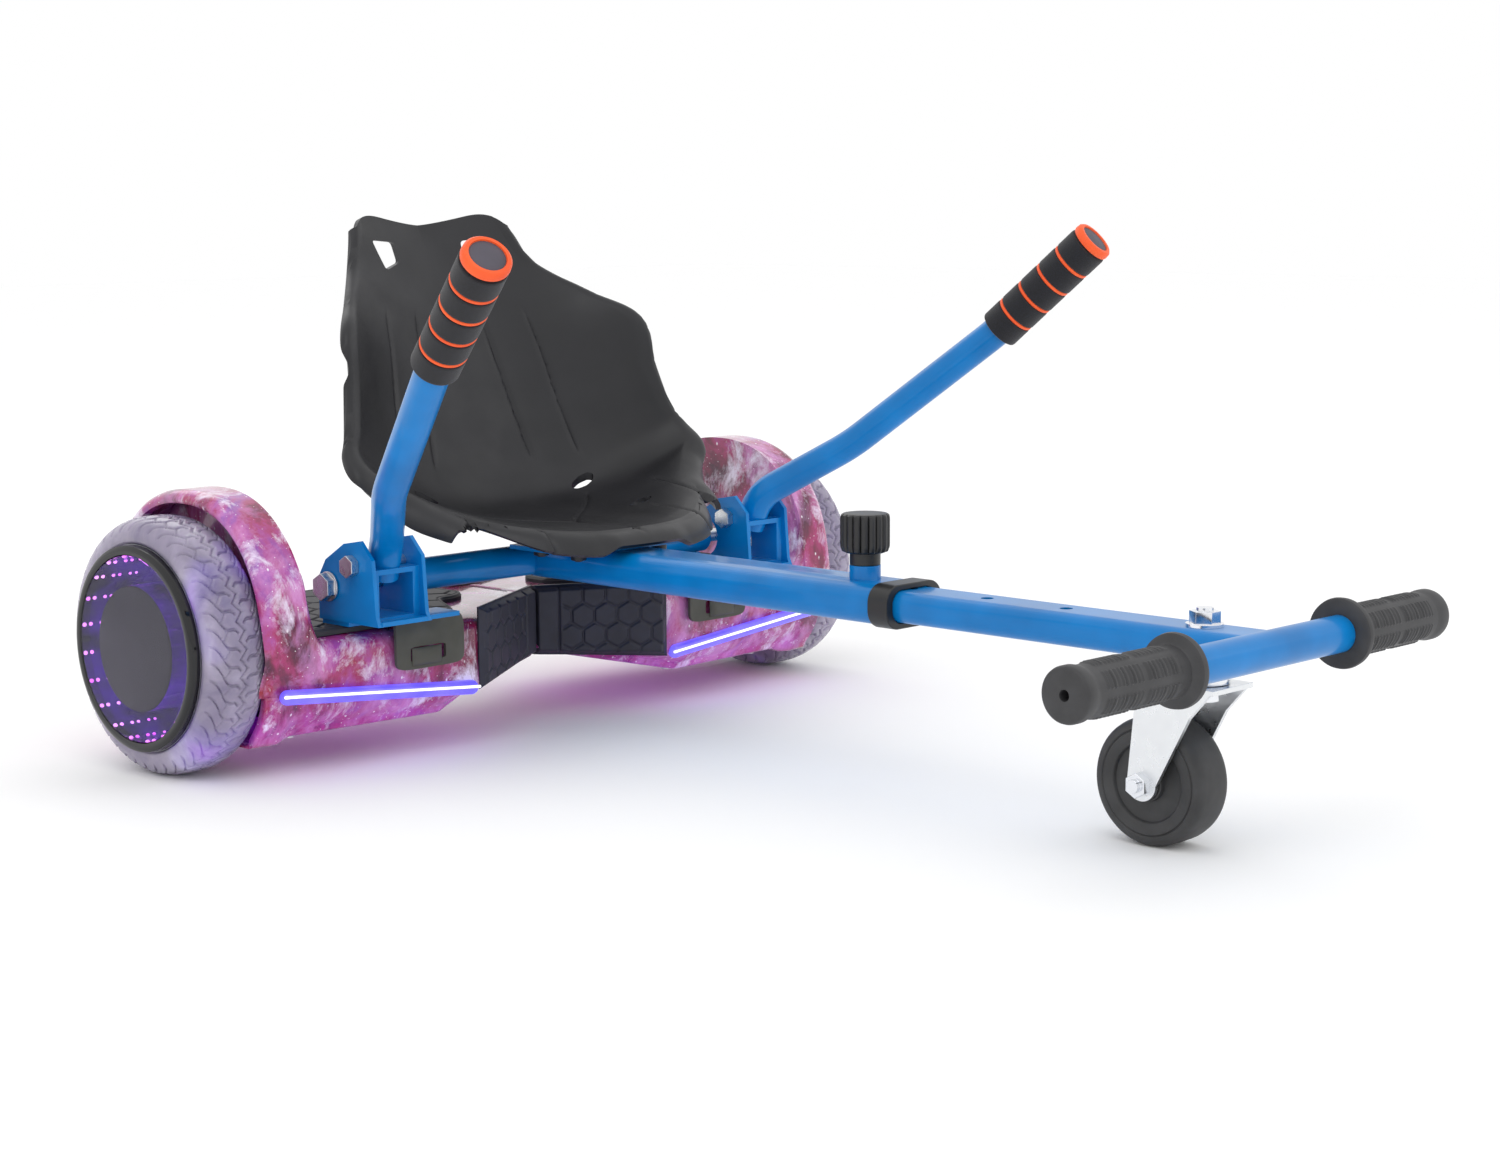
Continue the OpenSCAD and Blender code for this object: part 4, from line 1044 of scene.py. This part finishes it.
MAKERS = {
    "shell": printed_shell,
    "tyre": clear_rubber,
    "pad": lambda: dark_rubber("nitrile_mat", "#26262c", 700, 0.05, 0.6),
    "bumper": lambda: dark_rubber("navy_black_tpe", "#1a1a2a", 700, 0.05, 0.5),
    "enamel": enamel,
    "seat": seat_plastic,
    "foam": foam,
    "orange": lambda: moulded("orange_silicone", "#f4541a", 0.5),
    "plug": lambda: moulded("grey_pvc_plug", "#4a4650", 0.6, 900),
    "grip": lambda: dark_rubber("charcoal_grip_rubber", "#2e2e30", 800, 0.05, 0.5),
    "caster": lambda: dark_rubber("caster_tyre_rubber", "#2f2f30", 500, 0.05, 0.55),
    "knob": lambda: moulded("black_nylon", "#1a1a1b", 0.38),
    "black": lambda: moulded("black_abs", "#17171a", 0.4),
    "webbing": lambda: moulded("coated_grey_webbing", "#45453f", 0.7, 1400),
    "zinc": bright_zinc,
    "fork": lambda: bright_zinc("zinc_pressing", "#e6e8ea", 0.3),
    "chrome": lambda: bright_zinc("chrome_plate", "#e8eaee", 0.14),
    "alloy": lambda: bright_zinc("cast_alloy", "#b4b6ba", 0.45),
    "copper": lambda: bright_zinc("lacquered_copper", "#b06a34", 0.4),
    "board": lambda: moulded("solder_mask", "#0c5a2a", 0.35),
    "wrap": lambda: moulded("pvc_shrink_wrap", "#1c4a9c", 0.3),
    "bar": lambda: lit("periwinkle_diffuser", "#5a4cf0", 0.75, "#8478ff"),
    "bar_core": lambda: lit("white_strip_lamp", "#ffffff", 1.0, "#d0ccff"),
    "lamp": lambda: lit("pink_white_lamp", "#f060ff", 2.2, "#ffb8ff"),
    "window": window_pane,
    "mirror": mirror_wall,
    "gloss": lambda: moulded("piano_black_abs", "#08080c", 0.08, 60),
    "cap": lambda: moulded("smoked_acrylic", "#0b0c12", 0.2, 200),
}
FINISHES = {}


def finish(name):
    """The material of that name, made once."""
    if name not in FINISHES:
        FINISHES[name] = MAKERS[name]()
    return FINISHES[name]


def paint(node, name):
    """Gives a CAD node that keeps its shape its material."""
    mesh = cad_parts[node].data
    mesh.materials.clear()
    mesh.materials.append(finish(name))


# ---------------------------------------------------------------- settings

class BoardSettings(bpy.types.PropertyGroup):
    pad_cell: bpy.props.FloatProperty(name="Pad cell", description="Hexagons of the foot pads, in mm",
                                      default=30.0, min=10.0, max=60.0)
    bumper_cell: bpy.props.FloatProperty(name="Bumper cell", description="Hexagons of the waist guards, in mm",
                                         default=17.0, min=6.0, max=40.0)
    wall: bpy.props.FloatProperty(name="Shell wall", description="Wall of the moulded shells, in mm",
                                  default=2.4, min=1.0, max=4.0)


class WheelSettings(bpy.types.PropertyGroup):
    lugs: bpy.props.IntProperty(name="Tread waves", description="Lugs of the tread round the tyre", default=44,
                                min=20, max=120)
    lamps: bpy.props.IntProperty(name="Lamps", description="Lamps round each mirror tunnel", default=20,
                                 min=6, max=40)
    rows: bpy.props.IntProperty(name="Lamp rows", description="Rows of lamps in the tunnel", default=6,
                                min=1, max=8)


class KartSettings(bpy.types.PropertyGroup):
    bands: bpy.props.IntProperty(name="Foam bands", description="Bands of each foam hand grip", default=5, min=2,
                                 max=8)
    edge: bpy.props.FloatProperty(name="Edge radius", description="Rounding of the steel edges, in mm",
                                  default=0.7, min=0.2, max=2.0)


class StageSettings(bpy.types.PropertyGroup):
    lens: bpy.props.FloatProperty(name="Lens", description="Focal length on a 36 mm wide sensor, in mm",
                                  default=63.96, min=20.0, max=200.0)
    turn: bpy.props.FloatProperty(name="Turn", description="Camera azimuth", default=math.radians(-45.91),
                                  subtype="ANGLE")
    tilt: bpy.props.FloatProperty(name="Height angle", description="Camera elevation",
                                  default=math.radians(8.30), subtype="ANGLE")
    roll: bpy.props.FloatProperty(name="Roll", description="Camera roll", default=math.radians(-0.34),
                                  subtype="ANGLE")
    key: bpy.props.FloatProperty(name="Key light", description="Power of the main soft light, in watts",
                                 default=10.0, min=0.0)
    sky: bpy.props.FloatProperty(name="Sky", description="Strength of the white surroundings",
                                 default=1.0, min=0.0)


# ---------------------------------------------------------------- operators

class BuildShells(bpy.types.Operator):
    """Upper and lower shells of both halves"""
    bl_idname = "kartboard.shells"
    bl_label = "Board shells"

    def execute(self, context):
        wall = context.scene.kb_board.wall
        for side, out in SIDES.items():
            for shape, part in ((upper_shell, "upper_shell"), (lower_shell, "lower_shell")):
                node = f"{part}_{side}"
                piece = make(f"{part}_skin_{side}", *shape(out), finish("shell"), f"side_{side}", "galaxy_shell",
                             (node,), sharp=50)
                thicken(piece, wall)
        return {"FINISHED"}


class BuildPads(bpy.types.Operator):
    """Hexagon foot pads and the waist guards"""
    bl_idname = "kartboard.pads"
    bl_label = "Pads and guards"

    def execute(self, context):
        look = context.scene.kb_board
        for side, out in SIDES.items():
            make(f"foot_pad_{side}", *foot_pad(out, look.pad_cell), finish("pad"), f"side_{side}", "pad_rubber",
                 (f"footpad_{side}",))
            make(f"waist_guard_{side}", *bumper(out, look.bumper_cell), finish("bumper"), f"side_{side}",
                 "bumper_plastic", (f"bumper_{side}",))
        return {"FINISHED"}


class BuildLights(bpy.types.Operator):
    """Lit bars on the front of the board"""
    bl_idname = "kartboard.lights"
    bl_label = "Light bars"

    def execute(self, context):
        for side, out in SIDES.items():
            make(f"lamp_bar_{side}", *light_bar(out, 5.0), finish("bar"), f"side_{side}", "light_bar",
                 (f"light_bar_{side}",))
            make(f"lamp_core_{side}", *light_bar(out, 1.1, 4.2, 0.8), finish("bar_core"), f"side_{side}",
                 "light_bar")
        return {"FINISHED"}


class BuildWheels(bpy.types.Operator):
    """Translucent tyres and the mirror tunnels of the driven wheels"""
    bl_idname = "kartboard.wheels"
    bl_label = "Driven wheels"

    def execute(self, context):
        look = context.scene.kb_wheel
        x1 = DISC_HIGH[0]
        floor_x = TYRE_IN + 7.2
        rim = [(DISC_R - 7.0, TYRE_OUT - 1), (DISC_R - 7.0, x1 - 1.4), (DISC_R - 6.2, x1 - 0.3),
               (DISC_R - 4.5, x1), (DISC_R - 2.2, x1 - 0.1), (DISC_R - 0.5, x1 - 1.2), (DISC_R, x1 - 3.0),
               (DISC_R, TYRE_OUT - 1)]
        rim += rim[:1]
        wall = [(DISC_R - 7.0, x1 - 1.6), (DISC_R - 7.0, floor_x), (41.4, floor_x), (41.4, x1 - 3.2),
                (40.2, x1 - 3.2), (40.2, floor_x - 0.8), (DISC_R - 5.4, floor_x - 0.8),
                (DISC_R - 5.4, x1 - 1.6)]
        wall += wall[:1]
        cap = [(0, x1 - 1.6), (38.5, x1 - 1.6), (40.6, x1 - 1.9), (41.3, x1 - 2.8), (41.0, x1 - 4.2),
               (0, x1 - 4.2)]
        pane = [(0, x1 - 0.5), (DISC_R - 7.2, x1 - 0.5), (DISC_R - 7.2, x1 - 1.4), (0, x1 - 1.4)]
        for side, out in SIDES.items():
            body = f"wheel_{side}"
            make(f"soft_tyre_{side}", *tyre(out, look.lugs), finish("tyre"), body, "clear_tyre",
                 (f"tyre_{side}",), sharp=60)
            make(f"disc_rim_{side}", *wheel_lathe(out, rim), finish("gloss"), body, "mirror_disc",
                 (f"wheel_disc_{side}",))
            make(f"mirror_tunnel_{side}", *wheel_lathe(out, wall), finish("mirror"), body, "mirror_disc")
            make(f"disc_cap_{side}", *wheel_lathe(out, cap), finish("cap"), body, "mirror_disc")
            make(f"tunnel_window_{side}", *wheel_lathe(out, pane), finish("window"), body, "mirror_disc")
            make(f"tunnel_lamps_{side}", *lamps(out, look.lamps, look.rows, DISC_R - 7.0, 3.2, 6.4),
                 finish("lamp"), body, "mirror_disc", sharp=80)
            paint(f"hub_motor_{side}", "alloy")
            paint(f"stator_axle_{side}", "copper")
        return {"FINISHED"}


class BuildLevers(bpy.types.Operator):
    """Hand levers with foam grips"""
    bl_idname = "kartboard.levers"
    bl_label = "Levers and grips"

    def execute(self, context):
        bands = context.scene.kb_kart.bands
        for side, out in SIDES.items():
            body = f"side_{side}"
            make(f"lever_tube_{side}", *lever(out), finish("enamel"), body, "blue_paint", (f"lever_{side}",))
            sleeve = make(f"foam_sleeve_{side}", *foam_grip(out, bands), finish("foam"), body, "foam",
                          (f"lever_grip_{side}",))
            make(f"grip_rings_{side}", *grip_rings(out, bands), finish("orange"), body, "orange_rubber",
                 (f"grip_cap_{side}",))
            make(f"grip_plug_{side}", *grip_plug(out), finish("plug"), body, "grip_rubber")
        return {"FINISHED"}


class BuildBrackets(bpy.types.Operator):
    """Foot brackets, their bolts and the strap flaps"""
    bl_idname = "kartboard.brackets"
    bl_label = "Brackets and straps"

    def execute(self, context):
        edge = context.scene.kb_kart.edge
        for side, out in SIDES.items():
            body = f"side_{side}"
            softened(f"bracket_plates_{side}", f"foot_bracket_{side}", finish("enamel"), body,
                     edge)
            softened(f"lever_bolts_{side}", f"bracket_bolts_{side}", finish("zinc"), body, edge)
            make(f"flap_{side}", *strap_flap(out), finish("webbing"), body, "grey_webbing",
                 (f"strap_flap_{side}",))
            make(f"strap_fold_{side}", *strap_end(out), finish("webbing"), body, "grey_webbing")
        return {"FINISHED"}


class BuildFrame(bpy.types.Operator):
    """Cross bar, telescopic beam, foot bar and knob"""
    bl_idname = "kartboard.frame"
    bl_label = "Kart frame"

    def execute(self, context):
        edge = context.scene.kb_kart.edge
        for node, body in (("crossbar", "frame"), ("outer_tube", "frame"), ("seat_bracket", "frame"),
                           ("inner_tube", "front"), ("foot_bar", "front")):
            softened(f"{node}_painted", node, finish("enamel"), body, edge)
        softened("beam_bush", "tube_bush", finish("knob"), "frame", edge * 1.6)
        softened("seat_fixings", "frame_bolts", finish("black"), "frame", edge, reach=(0, 60))
        softened("pivot_bolts", "frame_bolts", finish("zinc"), "frame", edge, reach=(60, 999))
        make("fluted_knob", *knob(), finish("knob"), "knob", "black_plastic", ("clamp_knob",))
        make("ribbed_foot_grips", *foot_grips(), finish("grip"), "front", "grip_rubber", ("foot_grips",))
        return {"FINISHED"}


class BuildSeat(bpy.types.Operator):
    """Moulded bucket seat"""
    bl_idname = "kartboard.seat"
    bl_label = "Seat"

    def execute(self, context):
        piece = make("bucket_seat", *seat(), finish("seat"), "frame", "seat_plastic", ("seat",), sharp=80)
        thicken(piece, 4.0)
        pierce(piece, seat_cutters())
        edge = piece.modifiers.new("edge", "BEVEL")
        edge.width = 1.2 * MM
        edge.segments = 3
        edge.limit_method = "ANGLE"
        edge.angle_limit = math.radians(60)
        return {"FINISHED"}


class BuildCaster(bpy.types.Operator):
    """Swivel caster under the foot bar"""
    bl_idname = "kartboard.caster"
    bl_label = "Caster"

    def execute(self, context):
        edge = context.scene.kb_kart.edge
        softened("caster_pressing", "caster_fork", finish("fork"), "swivel", edge)
        softened("caster_bolt", "caster_axle", finish("chrome"), "swivel", edge)
        softened("king_bolt", "kingpin", finish("chrome"), "front", edge)
        make("caster_roller", *caster_wheel(), finish("caster"), "caster", "caster_rubber", ("caster_wheel",))
        return {"FINISHED"}


class FinishInside(bpy.types.Operator):
    """Finishes of the pieces inside the board and of its small outer parts"""
    bl_idname = "kartboard.inside"
    bl_label = "Inside pieces"

    def execute(self, context):
        for side in SIDES:
            for node, name in (("chassis", "alloy"), ("gyro_board", "board"), ("pad_switches", "black"),
                               ("shell_screws", "zinc")):
                paint(f"{node}_{side}", name)
        for node, name in (("pivot_shaft", "zinc"), ("battery_pack", "wrap"), ("control_board", "board"),
                           ("speaker", "black"), ("power_button", "chrome"), ("charge_socket", "black"),
                           ("charge_cap", "grip")):
            paint(node, name)
        return {"FINISHED"}


# Camera: out, forward and up, in mm
CAMERA_AT = [-1249.3, 1469.8, 374.7]
# Soft lights: name, place in metres, size in metres and share of the key light's power
LIGHTS = (("key", (-1.5, -1.0, 2.6), 1.8, 1.0), ("fill", (1.8, -2.0, 1.8), 1.6, 0.4),
          ("rim", (0.6, 2.2, 1.8), 1.4, 0.5))


class BuildStage(bpy.types.Operator):
    """Pale floor, soft lights and the camera"""
    bl_idname = "kartboard.stage"
    bl_label = "Stage"

    def execute(self, context):
        look = context.scene.kb_stage
        scene = context.scene
        a, e = look.turn, look.tilt
        back = np.array([math.sin(a) * math.cos(e), -math.cos(a) * math.cos(e), math.sin(e)])
        right = np.array([math.cos(a), math.sin(a), 0.0])
        up = np.cross(back, right)
        r = look.roll
        level, rise = right * math.cos(r) + up * math.sin(r), up * math.cos(r) - right * math.sin(r)
        camera = bpy.data.cameras.new("camera")
        camera.lens, camera.sensor_width = look.lens, 36.0
        view = bpy.data.objects.new("camera", camera)
        spot = place(CAMERA_AT)
        view.matrix_world = Matrix(np.column_stack([np.column_stack([level, rise, back, spot]).T,
                                                    [0, 0, 0, 1]]).T.tolist())
        scene.collection.objects.link(view)
        scene.camera = view
        mesh = bpy.data.meshes.new("floor")
        mesh.from_pydata([(-9, -9, 0), (9, -9, 0), (9, 9, 0), (-9, 9, 0)], [], [(0, 1, 2, 3)])
        ground, _, shader, _ = start("white_floor", Roughness=0.9)
        shader.inputs["Base Color"].default_value = srgb("#ffffff")
        mesh.materials.append(ground)
        floor = bpy.data.objects.new("floor", mesh)
        scene.collection.objects.link(floor)
        world = bpy.data.worlds.new("studio")
        world.use_nodes = True
        world.node_tree.nodes["Background"].inputs["Color"].default_value = (1, 1, 1, 1)
        world.node_tree.nodes["Background"].inputs["Strength"].default_value = look.sky
        scene.world = world
        for name, at, size, share in LIGHTS:
            lamp = bpy.data.lights.new(name, "AREA")
            lamp.energy, lamp.size = share * look.key, size
            holder = bpy.data.objects.new(name, lamp)
            aim = np.array(at) / np.linalg.norm(at)
            across = np.cross([0, 0, 1.0], aim)
            across /= np.linalg.norm(across)
            turn = np.column_stack([across, np.cross(aim, across), aim, at])
            holder.matrix_world = Matrix(np.vstack([turn, [0, 0, 0, 1]]).tolist())
            scene.collection.objects.link(holder)
        scene.view_settings.view_transform = "Standard"
        return {"FINISHED"}


BUILDERS = (BuildStage, BuildShells, BuildPads, BuildLights, BuildWheels, BuildLevers, BuildBrackets, BuildFrame,
            BuildSeat, BuildCaster, FinishInside)
SETTINGS = {"kb_board": BoardSettings, "kb_wheel": WheelSettings, "kb_kart": KartSettings,
            "kb_stage": StageSettings}


class KartBoardPanel(bpy.types.Panel):
    """Sidebar panel that lists the builders and their settings"""
    bl_idname = "VIEW3D_PT_kart_board"
    bl_label = "Kart Board"
    bl_space_type = "VIEW_3D"
    bl_region_type = "UI"
    bl_category = "Kart Board"

    def draw(self, context):
        for name, group in SETTINGS.items():
            box = self.layout.box()
            for prop in group.__annotations__:
                box.prop(getattr(context.scene, name), prop)
        for builder in BUILDERS:
            self.layout.operator(builder.bl_idname)


def register():
    for group in SETTINGS.values():
        bpy.utils.register_class(group)
    for name, group in SETTINGS.items():
        setattr(bpy.types.Scene, name, bpy.props.PointerProperty(type=group))
    for one in (*BUILDERS, KartBoardPanel):
        bpy.utils.register_class(one)


def unregister():
    for one in (KartBoardPanel, *BUILDERS[::-1]):
        bpy.utils.unregister_class(one)
    for name, group in SETTINGS.items():
        delattr(bpy.types.Scene, name)
        bpy.utils.unregister_class(group)


def main():
    """Builds everything in order."""
    register()
    for builder in BUILDERS:
        group, name = builder.bl_idname.split(".")
        getattr(getattr(bpy.ops, group), name)()
    bpy.context.view_layer.update()


if __name__ == "__main__":
    main()
